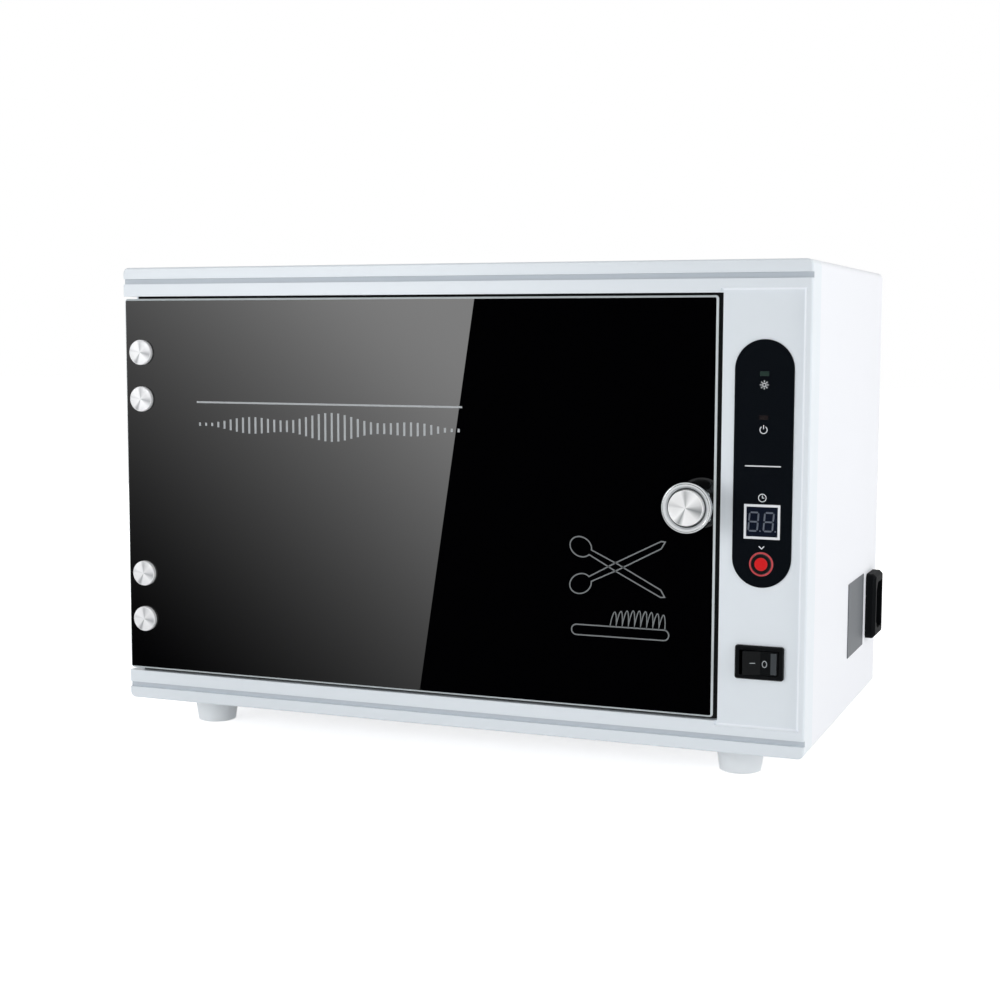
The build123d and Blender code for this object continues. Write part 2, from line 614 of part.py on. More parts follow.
def lamp_reflector():
    """A folded sheet over the lamp: a flat top with two wings turned down."""
    half = REFLECTOR_TOP / 2
    top = CHAMBER_TOP
    drop = REFLECTOR_WING * sin(radians(35))
    run = REFLECTOR_WING * cos(radians(35))
    outline = [(LAMP_Y - half - run, top - drop), (LAMP_Y - half, top), (LAMP_Y + half, top),
               (LAMP_Y + half + run, top - drop), (LAMP_Y + half + run, top - drop - REFLECTOR_SHEET),
               (LAMP_Y + half, top - REFLECTOR_SHEET), (LAMP_Y - half, top - REFLECTOR_SHEET),
               (LAMP_Y - half - run, top - drop - REFLECTOR_SHEET)]
    x0 = CHAMBER_MID_X - LAMP_LENGTH / 2 + 2
    face = make_face(Polyline(*[(x0, y, z) for y, z in outline], close=True))
    return extrude(face, LAMP_LENGTH - 4, dir=(1, 0, 0))


# ---------------------------------------------------------------- electronics
def ballast():
    """The lamp's electronic ballast: a folded case with two ears, on the cabinet's floor."""
    x1 = WIDTH - SHELL_WALL - BALLAST_SIDE_GAP
    x0 = x1 - BALLAST_WIDTH
    y0 = BALLAST_FRONT
    case = block(x0, x1, y0, y0 + BALLAST_LENGTH, SHELL_WALL, SHELL_WALL + BALLAST_HEIGHT)
    top_edges = case.faces().sort_by(Axis.Z)[-1].edges()
    case = fillet(top_edges, 1.5)
    ears = block(x0, x1, y0 - BALLAST_EAR, y0 + BALLAST_LENGTH + BALLAST_EAR, SHELL_WALL,
                 SHELL_WALL + 1.2)
    return case + ears


def control_board():
    x0 = CONTROL_X - BOARD_WIDTH / 2
    board = block(x0, x0 + BOARD_WIDTH, BOARD_Y, BOARD_Y + BOARD_THICKNESS, BOARD_BOTTOM, BOARD_TOP)
    holes = [rod_y(x, z, BOARD_Y - 1, BOARD_Y + BOARD_THICKNESS + 1,
                   FRAME_SCREW_RADIUS + SCREW_CLEARANCE) for x, z in standoff_places()]
    return board - holes


def standoff_places():
    inset = STANDOFF_RADIUS + 0.6
    return [(x, z) for x in (CONTROL_X - BOARD_WIDTH / 2 + inset, CONTROL_X + BOARD_WIDTH / 2 - inset)
            for z in (BOARD_BOTTOM + inset, BOARD_TOP - inset)]


def board_standoffs():
    return group([rod_y(x, z, COLUMN_BACK, BOARD_Y, STANDOFF_RADIUS)
                  for x, z in standoff_places()])


def board_screws():
    head = BOARD_Y + BOARD_THICKNESS
    return group([rod_y(x, z, head, head + 1.6, STANDOFF_RADIUS) +
                  rod_y(x, z, BOARD_Y, head, FRAME_SCREW_RADIUS) for x, z in standoff_places()])


def display_module():
    half_width = DISPLAY_WIDTH / 2
    half_height = DISPLAY_HEIGHT / 2
    return block(CONTROL_X - half_width, CONTROL_X + half_width, OVERLAY_BACK, BOARD_Y,
                 DISPLAY_Z - half_height, DISPLAY_Z + half_height)


def display_window():
    half_width = DISPLAY_WIDTH / 2
    half_height = DISPLAY_HEIGHT / 2
    return plate(CONTROL_X - half_width, CONTROL_X + half_width, DISPLAY_Z - half_height,
                 DISPLAY_Z + half_height, OVERLAY_FRONT, OVERLAY_BACK, 0.8)


def indicator_leds():
    """Two rectangular light pipes, flush with the overlay and seated on the board."""
    half_width = LED_WIDTH / 2
    half_height = LED_HEIGHT / 2
    return group([block(CONTROL_X - half_width, CONTROL_X + half_width, OVERLAY_FRONT, BOARD_Y,
                        z - half_height, z + half_height) for z in (WORK_LED_Z, POWER_LED_Z)])


def control_overlay():
    half = OVERLAY_WIDTH / 2
    overlay = plate(CONTROL_X - half, CONTROL_X + half, OVERLAY_BOTTOM, OVERLAY_TOP,
                    OVERLAY_FRONT, OVERLAY_BACK, half - 0.01)
    overlay -= control_window(DISPLAY_Z, DISPLAY_WIDTH, DISPLAY_HEIGHT, SCREW_CLEARANCE)
    for z in (WORK_LED_Z, POWER_LED_Z):
        overlay -= control_window(z, LED_WIDTH, LED_HEIGHT, SCREW_CLEARANCE)
    overlay -= rod_y(CONTROL_X, BUTTON_Z, 0, COLUMN_BACK, button_bezel_radius() + SCREW_CLEARANCE)
    return overlay


def button_bezel_radius():
    return BUTTON_RADIUS + BUTTON_CLEARANCE + BUTTON_BEZEL_WIDTH


def button_bezel():
    inner = BUTTON_RADIUS + BUTTON_CLEARANCE
    outer = button_bezel_radius()
    front = OVERLAY_FRONT - 0.3
    return turned_y(CONTROL_X, BUTTON_Z, [(inner, front), (outer - 0.2, front), (outer, front + 0.2),
                                          (outer, OVERLAY_BACK), (inner, OVERLAY_BACK)])


def button_cap():
    """The push button: a round cap with a retaining collar and a stem towards its switch."""
    front = OVERLAY_FRONT - BUTTON_PROUD
    collar = COLUMN_BACK + RUNNING_GAP
    collar_radius = BUTTON_RADIUS + 1.5
    return turned_y(CONTROL_X, BUTTON_Z, [
        (0, front + 0.6), (BUTTON_LENS_RADIUS, front + 0.6), (BUTTON_LENS_RADIUS, front),
        (BUTTON_RADIUS - 0.3, front), (BUTTON_RADIUS, front + 0.3), (BUTTON_RADIUS, collar),
        (collar_radius, collar), (collar_radius, collar + 1.2), (1.6, collar + 1.2),
        (1.6, stem_tip()), (0, stem_tip())])


def stem_tip():
    return BOARD_Y - 5.0 - BUTTON_TRAVEL - 0.1


def button_lens():
    front = OVERLAY_FRONT - BUTTON_PROUD
    return turned_y(CONTROL_X, BUTTON_Z, [(0, front - 0.2), (BUTTON_LENS_RADIUS - 0.3, front - 0.1),
                                          (BUTTON_LENS_RADIUS, front + 0.1),
                                          (BUTTON_LENS_RADIUS, front + 0.6), (0, front + 0.6)])


def tact_switch():
    """The small switch on the board that the button's stem presses."""
    body = block(CONTROL_X - 3, CONTROL_X + 3, BOARD_Y - 3.5, BOARD_Y, BUTTON_Z - 3, BUTTON_Z + 3)
    return body + rod_y(CONTROL_X, BUTTON_Z, BOARD_Y - 5.0, BOARD_Y - 3.5, 1.7)


def reed_switch():
    """The door's safety contact, in a small case behind the frame's land."""
    return block(KNOB_X - REED_LENGTH / 2, KNOB_X + REED_LENGTH / 2, LAND_BACK,
                 LAND_BACK + REED_CASE, REED_Z - REED_CASE / 2, REED_Z + REED_CASE / 2)


def door_magnet():
    return rod_y(KNOB_X, REED_Z, GLASS_BACK, LAND_Y - RUNNING_GAP, DOOR_MAGNET_RADIUS)


# ---------------------------------------------------------------- rocker switch
def rocker_housing():
    half_width = ROCKER_WIDTH / 2
    half_height = ROCKER_HEIGHT / 2
    bezel = plate(CONTROL_X - half_width, CONTROL_X + half_width, ROCKER_Z - half_height,
                  ROCKER_Z + half_height, ROCKER_FRONT, COLUMN_RECESS, 1.2)
    bezel = chamfer(bezel.faces().sort_by(Axis.Y)[0].edges(), 0.5)
    body = block(CONTROL_X - ROCKER_BODY_WIDTH / 2, CONTROL_X + ROCKER_BODY_WIDTH / 2,
                 COLUMN_RECESS, COLUMN_RECESS + ROCKER_BODY_DEPTH,
                 ROCKER_Z - ROCKER_BODY_HEIGHT / 2, ROCKER_Z + ROCKER_BODY_HEIGHT / 2)
    well = block(CONTROL_X - ROCKER_WELL_WIDTH / 2, CONTROL_X + ROCKER_WELL_WIDTH / 2,
                 ROCKER_FRONT - 1, COLUMN_RECESS + ROCKER_BODY_DEPTH - 3,
                 ROCKER_Z - ROCKER_WELL_HEIGHT / 2, ROCKER_Z + ROCKER_WELL_HEIGHT / 2)
    half = ROCKER_BODY_HEIGHT / 2 + 1
    trunnion_holes = rod_z(CONTROL_X, PADDLE_PIVOT_Y, ROCKER_Z - half, ROCKER_Z + half,
                           TRUNNION_RADIUS + PIN_CLEARANCE)
    return bezel + body - well - trunnion_holes


def rocker_paddle():
    """The V-faced paddle on its trunnions, stored with its right half pressed in."""
    half = PADDLE_WIDTH / 2
    crest = -PADDLE_VALLEY - PADDLE_RISE
    left_end = (-half, crest)
    valley = (0.0, -PADDLE_VALLEY)
    right_end = (half, crest)
    outline = [left_end, valley, right_end, (half, -1.5), (2.6, 3.0), (-2.6, 3.0), (-half, -1.5)]
    plane = Plane(origin=(CONTROL_X, PADDLE_PIVOT_Y, ROCKER_Z), x_dir=(1, 0, 0), z_dir=(0, 0, 1))
    height = ROCKER_WELL_HEIGHT - 2 * PADDLE_CLEARANCE
    paddle = extrude(plane * make_face(Polyline(*outline, close=True)), height / 2, both=True)
    rib_end = half - PADDLE_RIB_INSET
    rib = [(x, -PADDLE_VALLEY - PADDLE_RISE * x / half + depth)
           for x, depth in ((rib_end - PADDLE_RIB_WIDTH, 0.4),
                            (rib_end - PADDLE_RIB_WIDTH, -PADDLE_RIB_PROUD),
                            (rib_end, -PADDLE_RIB_PROUD), (rib_end, 0.4))]
    paddle += extrude(plane * make_face(Polyline(*rib, close=True)), PADDLE_RIB_HEIGHT / 2,
                      both=True)
    pin_half = ROCKER_BODY_HEIGHT / 2 - 0.2
    paddle += rod_z(CONTROL_X, PADDLE_PIVOT_Y, ROCKER_Z - pin_half, ROCKER_Z + pin_half,
                    TRUNNION_RADIUS)
    pivot = Axis((CONTROL_X, PADDLE_PIVOT_Y, 0), (0, 0, 1))
    return paddle.rotate(pivot, PADDLE_TILT)


def rocker_terminals():
    back = COLUMN_RECESS + ROCKER_BODY_DEPTH
    half = TERMINAL_WIDTH / 2
    return group([block(CONTROL_X + dx - 0.4, CONTROL_X + dx + 0.4, back, back + TERMINAL_LENGTH,
                        ROCKER_Z - half, ROCKER_Z + half) for dx in (-5.0, 5.0)])


# ---------------------------------------------------------------- mains inlet
def inlet_housing():
    """A socket for a loose mains lead, with a tall chamfered flange on the right side."""
    flange = block(WIDTH, WIDTH + INLET_PROUD, INLET_Y - INLET_FLANGE_DEPTH / 2,
                   INLET_Y + INLET_FLANGE_DEPTH / 2, INLET_Z - INLET_FLANGE_HEIGHT / 2,
                   INLET_Z + INLET_FLANGE_HEIGHT / 2)
    flange = fillet(flange.edges().filter_by(Axis.X), 3.0)
    flange = chamfer(flange.faces().sort_by(Axis.X)[-1].edges(), 1.6)
    body = block(WIDTH - INLET_BODY_LENGTH, WIDTH, INLET_Y - INLET_BODY_DEPTH / 2,
                 INLET_Y + INLET_BODY_DEPTH / 2, INLET_Z - INLET_BODY_HEIGHT / 2,
                 INLET_Z + INLET_BODY_HEIGHT / 2)
    socket = block(WIDTH + INLET_PROUD - INLET_SOCKET_LENGTH, WIDTH + INLET_PROUD + 1,
                   INLET_Y - INLET_SOCKET_DEPTH / 2, INLET_Y + INLET_SOCKET_DEPTH / 2,
                   INLET_Z - INLET_SOCKET_HEIGHT / 2, INLET_Z + INLET_SOCKET_HEIGHT / 2)
    front_corners = socket.edges().filter_by(Axis.X).group_by(Axis.Y)[0]
    return flange + body - chamfer(front_corners, 4.0)


def inlet_pins():
    """Three flat contacts, seated in the socket's floor."""
    floor = WIDTH + INLET_PROUD - INLET_SOCKET_LENGTH
    places = [(-INLET_PIN_OFFSET, -INLET_PIN_SPACING), (INLET_PIN_OFFSET, 0),
              (-INLET_PIN_OFFSET, INLET_PIN_SPACING)]
    return group([block(floor, WIDTH + INLET_PROUD - 3, INLET_Y + dy - 2, INLET_Y + dy + 2,
                        INLET_Z + dz - 1, INLET_Z + dz + 1) for dy, dz in places])


def side_plate():
    """A thin blank plate on the cabinet's side, in front of the inlet."""
    rear = INLET_Y - INLET_FLANGE_DEPTH / 2 - SIDE_PLATE_GAP
    return block(WIDTH, WIDTH + SIDE_PLATE_THICKNESS, rear - SIDE_PLATE_LENGTH, rear,
                 INLET_Z - SIDE_PLATE_HEIGHT / 2, INLET_Z + SIDE_PLATE_HEIGHT / 2)


# ---------------------------------------------------------------- door
def hinge_screw_heights(height):
    return (height - HINGE_SCREW_SPACING / 2, height + HINGE_SCREW_SPACING / 2)


def hinge_screw_places():
    return [(HINGE_SCREW_X, z) for height in HINGE_HEIGHTS for z in hinge_screw_heights(height)]


def door_glass():
    glass = plate(DOOR_LEFT, DOOR_RIGHT, DOOR_BOTTOM, DOOR_TOP, GLASS_SETBACK, GLASS_BACK, 1.5)
    glass = chamfer(glass.faces().sort_by(Axis.Y)[0].edges(), GLASS_BEVEL)
    holes = [rod_y(x, z, GLASS_SETBACK - 1, GLASS_BACK + 1, GLASS_HOLE_RADIUS)
             for x, z in hinge_screw_places() + [(KNOB_X, KNOB_Z)]]
    return glass - holes


def hinge_pads():
    """Soft pads between the glass and the hinge leaves."""
    pads = []
    for height in HINGE_HEIGHTS:
        pad = block(HINGE_REBATE_WIDTH, LEAF_REACH, GLASS_BACK, GLASS_BACK + HINGE_PAD,
                    height - LEAF_HEIGHT / 2, height + LEAF_HEIGHT / 2)
        for z in hinge_screw_heights(height):
            pad -= rod_y(HINGE_SCREW_X, z, 0, 10, GLASS_HOLE_RADIUS)
        pads.append(pad)
    return group(pads)


def door_leaf(height):
    """A hinge leaf behind the glass, with its middle knuckle and two threaded bosses."""
    front = GLASS_BACK + HINGE_PAD
    half = LEAF_HEIGHT / 2
    middle = MIDDLE_KNUCKLE / 2
    clear_x = HINGE_AXIS_X + KNUCKLE_RADIUS + RUNNING_GAP
    leaf = block(clear_x, LEAF_REACH, front, front + LEAF_THICKNESS, height - half, height + half)
    leaf += block(HINGE_AXIS_X - 0.5, clear_x, front, front + LEAF_THICKNESS,
                  height - middle, height + middle)
    leaf += rod_z(HINGE_AXIS_X, HINGE_AXIS_Y, height - middle, height + middle, KNUCKLE_RADIUS)
    nut_back = HINGE_AXIS_Y + KNUCKLE_RADIUS - LEAF_THICKNESS - RUNNING_GAP
    for z in hinge_screw_heights(height):
        leaf += rod_y(HINGE_SCREW_X, z, front, nut_back, NUT_RADIUS)
        leaf -= rod_y(HINGE_SCREW_X, z, 0, nut_back + 1, SCREW_RADIUS + SCREW_CLEARANCE)
    leaf -= rod_z(HINGE_AXIS_X, HINGE_AXIS_Y, height - half, height + half,
                  HINGE_PIN_RADIUS + PIN_CLEARANCE)
    return leaf


def door_hinge_leaves():
    return group([door_leaf(height) for height in HINGE_HEIGHTS])


def frame_leaf(height):
    """A hinge leaf in the frame's pocket, with its two outer knuckles."""
    back = HINGE_AXIS_Y + KNUCKLE_RADIUS
    half = LEAF_HEIGHT / 2
    middle = MIDDLE_KNUCKLE / 2 + RUNNING_GAP
    clear_x = HINGE_AXIS_X + KNUCKLE_RADIUS + RUNNING_GAP
    leaf = block(clear_x, LEAF_REACH, back - LEAF_THICKNESS, back, height - half, height + half)
    for z0, z1 in ((height - half, height - middle), (height + middle, height + half)):
        leaf += block(HINGE_AXIS_X, clear_x, back - LEAF_THICKNESS, back, z0, z1)
        leaf += rod_z(HINGE_AXIS_X, HINGE_AXIS_Y, z0, z1, KNUCKLE_RADIUS)
    leaf -= rod_z(HINGE_AXIS_X, HINGE_AXIS_Y, height - half - 1, height + half + 1,
                  HINGE_PIN_RADIUS + PIN_CLEARANCE)
    for z in hinge_screw_heights(height):
        leaf -= rod_y(FRAME_SCREW_X, z, 0, back + 1, FRAME_SCREW_RADIUS + SCREW_CLEARANCE)
    return leaf


def frame_hinge_leaves():
    return group([frame_leaf(height) for height in HINGE_HEIGHTS])


def frame_hinge_screws():
    seat = FRAME_SCREW_SEAT
    screws = []
    for height in HINGE_HEIGHTS:
        for z in hinge_screw_heights(height):
            shank = rod_y(FRAME_SCREW_X, z, seat - 0.5, seat + FRAME_SCREW_LENGTH,
                          FRAME_SCREW_RADIUS - SCREW_CLEARANCE)
            screws.append(shank + rod_y(FRAME_SCREW_X, z, seat - FRAME_SCREW_HEAD, seat,
                                        FRAME_SCREW_HEAD_RADIUS))
    return group(screws)


def hinge_pins():
    """The hinge pins, with a head under each hinge's lower knuckle."""
    pins = []
    for height in HINGE_HEIGHTS:
        half = LEAF_HEIGHT / 2
        pin = rod_z(HINGE_AXIS_X, HINGE_AXIS_Y, height - half - 1, height + half, HINGE_PIN_RADIUS)
        pin += rod_z(HINGE_AXIS_X, HINGE_AXIS_Y, height - half - 1, height - half,
                     KNUCKLE_RADIUS * 0.8)
        pins.append(pin)
    return group(pins)


def hinge_screws():
    """Screws through the glass; each head sits under a cap."""
    nut_back = HINGE_AXIS_Y + KNUCKLE_RADIUS - LEAF_THICKNESS - RUNNING_GAP
    return group([rod_y(x, z, GLASS_SETBACK, nut_back, SCREW_RADIUS) +
                  rod_y(x, z, GLASS_SETBACK - CAP_CUP_DEPTH + 0.1, GLASS_SETBACK,
                        HINGE_SCREW_HEAD_RADIUS) for x, z in hinge_screw_places()])


def hinge_caps():
    """Four domed covers, hollow underneath, seated on the glass over the screws' heads."""
    front = GLASS_SETBACK - CAP_HEIGHT
    profile = [(0, front), (CAP_RADIUS * 0.55, front + CAP_DOME * 0.25),
               (CAP_RADIUS - 0.5, front + CAP_DOME), (CAP_RADIUS, front + CAP_DOME + 0.5),
               (CAP_RADIUS, GLASS_SETBACK), (CAP_CUP_RADIUS, GLASS_SETBACK),
               (CAP_CUP_RADIUS, GLASS_SETBACK - CAP_CUP_DEPTH), (0, GLASS_SETBACK - CAP_CUP_DEPTH)]
    return group([turned_y(x, z, profile) for x, z in hinge_screw_places()])


def door_knob():
    """A turned pull: a waisted neck, a round head, and a polished rim round a sunk groove."""
    head_back = KNOB_BASE_Y - KNOB_NECK_LENGTH
    front = KNOB_FRONT_Y
    groove = front + KNOB_GROOVE_DEPTH
    rim_inner = KNOB_RADIUS - KNOB_RIM
    knob = turned_y(KNOB_X, KNOB_Z, [
        (0, KNOB_BASE_Y), (KNOB_NECK_RADIUS + 0.8, KNOB_BASE_Y),
        (KNOB_NECK_RADIUS, KNOB_BASE_Y - 1.5), (KNOB_NECK_RADIUS, head_back + 2.5),
        (KNOB_RADIUS - 1.2, head_back - 0.4), (KNOB_RADIUS, head_back - 1.6),
        (KNOB_RADIUS, front + 1.2), (KNOB_RADIUS - 0.5, front + 0.3), (rim_inner, front),
        (KNOB_FACE_RADIUS + 0.7, front + 0.8), (KNOB_FACE_RADIUS + 0.7, groove),
        (KNOB_FACE_RADIUS, groove), (KNOB_FACE_RADIUS, front), (0, front)])
    bore = rod_y(KNOB_X, KNOB_Z, KNOB_BASE_Y - 7, KNOB_BASE_Y + 1, SCREW_RADIUS + SCREW_CLEARANCE)
    return knob - bore


def knob_face():
    """The spun and brushed disc let into the knob's head."""
    front = KNOB_FRONT_Y
    return turned_y(KNOB_X, KNOB_Z, [
        (0, front), (KNOB_FACE_RADIUS, front), (KNOB_FACE_RADIUS, front - KNOB_FACE_THICKNESS + 0.3),
        (KNOB_FACE_RADIUS - 0.3, front - KNOB_FACE_THICKNESS), (0, front - KNOB_FACE_THICKNESS)])


def knob_washer():
    washer = rod_y(KNOB_X, KNOB_Z, KNOB_BASE_Y, GLASS_SETBACK, WASHER_RADIUS)
    return washer - rod_y(KNOB_X, KNOB_Z, KNOB_BASE_Y - 1, GLASS_SETBACK + 1, GLASS_HOLE_RADIUS)


def knob_screw():
    seat = GLASS_BACK + STRIKE_THICKNESS
    head = rod_y(KNOB_X, KNOB_Z, seat, seat + KNOB_SCREW_HEAD, KNOB_SCREW_HEAD_RADIUS)
    return head + rod_y(KNOB_X, KNOB_Z, KNOB_BASE_Y - 6, seat, SCREW_RADIUS)


def strike_plate():
    """The steel plate behind the glass that the catch's magnet holds."""
    top = KNOB_Z + STRIKE_HEIGHT / 4
    strike = plate(KNOB_X - STRIKE_WIDTH / 2, KNOB_X + STRIKE_WIDTH / 2, top - STRIKE_HEIGHT, top,
                   GLASS_BACK, GLASS_BACK + STRIKE_THICKNESS, 2.0)
    return strike - rod_y(KNOB_X, KNOB_Z, 0, 10, SCREW_RADIUS + SCREW_CLEARANCE)


def magnetic_catch():
    bottom = catch_bottom()
    front = GLASS_BACK + STRIKE_THICKNESS + RUNNING_GAP
    body = block(KNOB_X - CATCH_WIDTH / 2, KNOB_X + CATCH_WIDTH / 2, front, front + CATCH_DEPTH,
                 bottom, bottom + CATCH_HEIGHT)
    flange = block(KNOB_X - CATCH_WIDTH / 2 - 1.0, KNOB_X + CATCH_WIDTH / 2 + 1.0, LAND_BACK,
                   LAND_BACK + 1.5, bottom - 2.5, bottom + CATCH_HEIGHT + 2.5)
    return body + flange - catch_magnet()


def catch_magnet():
    middle = catch_bottom() + CATCH_HEIGHT / 2
    front = GLASS_BACK + STRIKE_THICKNESS + RUNNING_GAP
    return block(KNOB_X - MAGNET_WIDTH / 2, KNOB_X + MAGNET_WIDTH / 2, front, front + 5,
                 middle - MAGNET_HEIGHT / 2, middle + MAGNET_HEIGHT / 2)


# ---------------------------------------------------------------- feet
def foot_places():
    return [(x, y) for x in (FOOT_SIDE_INSET, WIDTH - FOOT_SIDE_INSET)
            for y in (FOOT_END_INSET, DEPTH - FOOT_END_INSET)]


def foot(x, y):
    """A tapered foot, bored from below for its screw."""
    shape = Pos(x, y, -FOOT_HEIGHT) * extrude_cone()
    shape -= rod_z(x, y, -FOOT_HEIGHT - 1, -FOOT_FLOOR, FOOT_BORE_RADIUS)
    shape -= rod_z(x, y, -FOOT_FLOOR - 1, 1, SCREW_RADIUS + SCREW_CLEARANCE)
    return shape


def extrude_cone():
    outline = make_face(Polyline((0, 0, 0), (FOOT_BOTTOM_RADIUS - 1.2, 0, 0),
                                 (FOOT_BOTTOM_RADIUS - 0.2, 0, 0.4), (FOOT_BOTTOM_RADIUS, 0, 1.4),
                                 (FOOT_TOP_RADIUS, 0, FOOT_HEIGHT), (0, 0, FOOT_HEIGHT),
                                 close=True))
    return revolve(outline, Axis.Z)


def feet():
    return group([foot(x, y) for x, y in foot_places()])


def foot_screws():
    """A screw up through each foot, with its nut on the cabinet's floor."""
    screws = []
    for x, y in foot_places():
        screw = rod_z(x, y, -FOOT_FLOOR - FOOT_SCREW_HEAD, -FOOT_FLOOR, FOOT_BORE_RADIUS - 0.5)
        screw += rod_z(x, y, -FOOT_FLOOR, SHELL_WALL + FOOT_NUT + FOOT_SCREW_END, SCREW_RADIUS)
        screw += rod_z(x, y, SHELL_WALL, SHELL_WALL + FOOT_NUT, SCREW_RADIUS * 1.75)
        screws.append(screw)
    return group(screws)


# ---------------------------------------------------------------- the finished object
PIECES = {
    "front_frame": front_frame, "cabinet_shell": cabinet_shell, "rear_cover": rear_cover,
    "rear_cover_screws": rear_cover_screws, "chamber_liner": chamber_liner,
    "shelf_ledges": shelf_ledges, "wire_shelf": wire_shelf, "door_seal": door_seal,
    "edge_seal": edge_seal, "side_plate": side_plate, "uv_tube": uv_tube, "lamp_end_caps": lamp_end_caps, "lamp_holders": lamp_holders,
    "lamp_reflector": lamp_reflector, "ballast": ballast, "control_board": control_board,
    "board_standoffs": board_standoffs, "board_screws": board_screws,
    "display_module": display_module, "display_window": display_window,
    "indicator_leds": indicator_leds, "control_overlay": control_overlay,
    "button_bezel": button_bezel, "button_cap": button_cap, "button_lens": button_lens,
    "tact_switch": tact_switch, "reed_switch": reed_switch, "door_magnet": door_magnet,
    "rocker_housing": rocker_housing, "rocker_paddle": rocker_paddle,
    "rocker_terminals": rocker_terminals, "inlet_housing": inlet_housing, "inlet_pins": inlet_pins,
    "door_glass": door_glass, "hinge_pads": hinge_pads, "door_hinge_leaves": door_hinge_leaves,
    "frame_hinge_leaves": frame_hinge_leaves, "frame_hinge_screws": frame_hinge_screws,
    "hinge_pins": hinge_pins, "hinge_screws": hinge_screws, "hinge_caps": hinge_caps,
    "door_knob": door_knob, "knob_face": knob_face, "knob_washer": knob_washer,
    "knob_screw": knob_screw, "strike_plate": strike_plate, "magnetic_catch": magnetic_catch,
    "catch_magnet": catch_magnet, "feet": feet, "foot_screws": foot_screws,
}

os.makedirs("parts", exist_ok=True)
for name, make in PIECES.items():
    export_step(make().moved(TO_OBJECT), f"parts/{name}.step")
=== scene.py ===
# %% [markdown]
# # A countertop sterilizer cabinet
# This lesson dresses a finished CAD model of a small ultraviolet cabinet: white moulded body,
# black glass door, chrome knob and hinge caps, and a control column. The CAD solids give every
# size, so the looks are built on top of them and never move them. We start by loading the model.

# %% Load the CAD model
import json

import bpy
import numpy as np
from mathutils import Matrix, Vector

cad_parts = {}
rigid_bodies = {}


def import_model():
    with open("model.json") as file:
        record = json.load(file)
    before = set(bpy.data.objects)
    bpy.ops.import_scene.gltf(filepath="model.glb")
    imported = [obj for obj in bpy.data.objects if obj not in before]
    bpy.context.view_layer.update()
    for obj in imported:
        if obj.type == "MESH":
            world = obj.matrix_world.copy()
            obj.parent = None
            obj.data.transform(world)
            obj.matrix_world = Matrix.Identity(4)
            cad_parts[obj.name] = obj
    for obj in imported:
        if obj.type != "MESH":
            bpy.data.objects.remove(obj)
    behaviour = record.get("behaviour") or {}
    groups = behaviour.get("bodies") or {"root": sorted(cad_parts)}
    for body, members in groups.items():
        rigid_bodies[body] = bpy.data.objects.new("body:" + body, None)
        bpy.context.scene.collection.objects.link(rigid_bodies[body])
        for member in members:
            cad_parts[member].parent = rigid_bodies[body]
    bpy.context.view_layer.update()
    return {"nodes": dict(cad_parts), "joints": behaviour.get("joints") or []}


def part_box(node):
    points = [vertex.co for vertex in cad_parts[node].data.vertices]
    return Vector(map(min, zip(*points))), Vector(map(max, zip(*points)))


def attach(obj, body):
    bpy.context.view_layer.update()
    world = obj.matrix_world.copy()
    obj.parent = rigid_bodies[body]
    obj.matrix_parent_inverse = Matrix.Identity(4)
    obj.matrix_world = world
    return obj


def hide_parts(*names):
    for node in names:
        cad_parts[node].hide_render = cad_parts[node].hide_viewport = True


for leftover in list(bpy.data.objects):
    bpy.data.objects.remove(leftover)
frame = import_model()
nodes = frame["nodes"]

# %% [markdown]
# ## One ruler for everything
# The cabinet was drawn from its own front left lower corner, in millimetres. Working in those
# numbers is easier than in metres from the middle, so one function carries a point over. The
# corner's place is read from the CAD's own pieces, so the looks follow when the model moves.

# %% Millimetres from the cabinet's corner
frame_low, frame_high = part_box("front_frame")
CORNER = np.array([frame_low.x, frame_low.y, frame_low.z])


def place(points):
    """Row-frame metres of points in millimetres from the cabinet's corner: corner + p / 1000."""
    return CORNER + np.asarray(points, float) / 1000.0


def corner_box(node):
    """Lowest and highest corner of a CAD node, in millimetres from the cabinet's corner."""
    low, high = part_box(node)
    return (np.array(low) - CORNER) * 1000, (np.array(high) - CORNER) * 1000


GLASS_LOW, GLASS_HIGH = corner_box("door_glass")
GLASS_FRONT = GLASS_LOW[1]
KNOB_LOW, KNOB_HIGH = corner_box("door_knob")
KNOB_X, KNOB_Z = (KNOB_LOW[0] + KNOB_HIGH[0]) / 2, (KNOB_LOW[2] + KNOB_HIGH[2]) / 2
OVERLAY_LOW, OVERLAY_HIGH = corner_box("control_overlay")
CONTROL_X = (OVERLAY_LOW[0] + OVERLAY_HIGH[0]) / 2
print("knob centre", round(KNOB_X, 1), round(KNOB_Z, 1), "column centre", round(CONTROL_X, 1))

# %% [markdown]
# ## Colours
# Blender mixes light in linear values, while colours are usually picked as six-figure codes made
# for screens. One small function converts a code, so that every colour below is written the
# familiar way.


# %% Colour codes to linear light
def colour(code):
    """Linear RGBA of a code: c / 12.92 below 0.04045, else ((c + 0.055) / 1.055) to the 2.4."""
    c = np.array([int(code[i:i + 2], 16) for i in (1, 3, 5)]) / 255.0
    linear = np.where(c <= 0.04045, c / 12.92, ((c + 0.055) / 1.055) ** 2.4)
    return (*linear, 1.0)


# %% [markdown]
# ## A material in one call
# Every finish here is Blender's Principled shader with a few sockets changed. A helper makes the
# material, and a second one adds a node and wires its inputs, so each recipe stays readable.


# %% Material helpers
def material(name, code, **sockets):
    """A Principled material; keyword names are socket names with underscores for spaces."""
    made = bpy.data.materials.new(name)
    made.use_nodes = True
    shader = made.node_tree.nodes["Principled BSDF"]
    shader.inputs["Base Color"].default_value = colour(code)
    for socket, value in sockets.items():
        shader.inputs[socket.replace("_", " ")].default_value = value
    return made


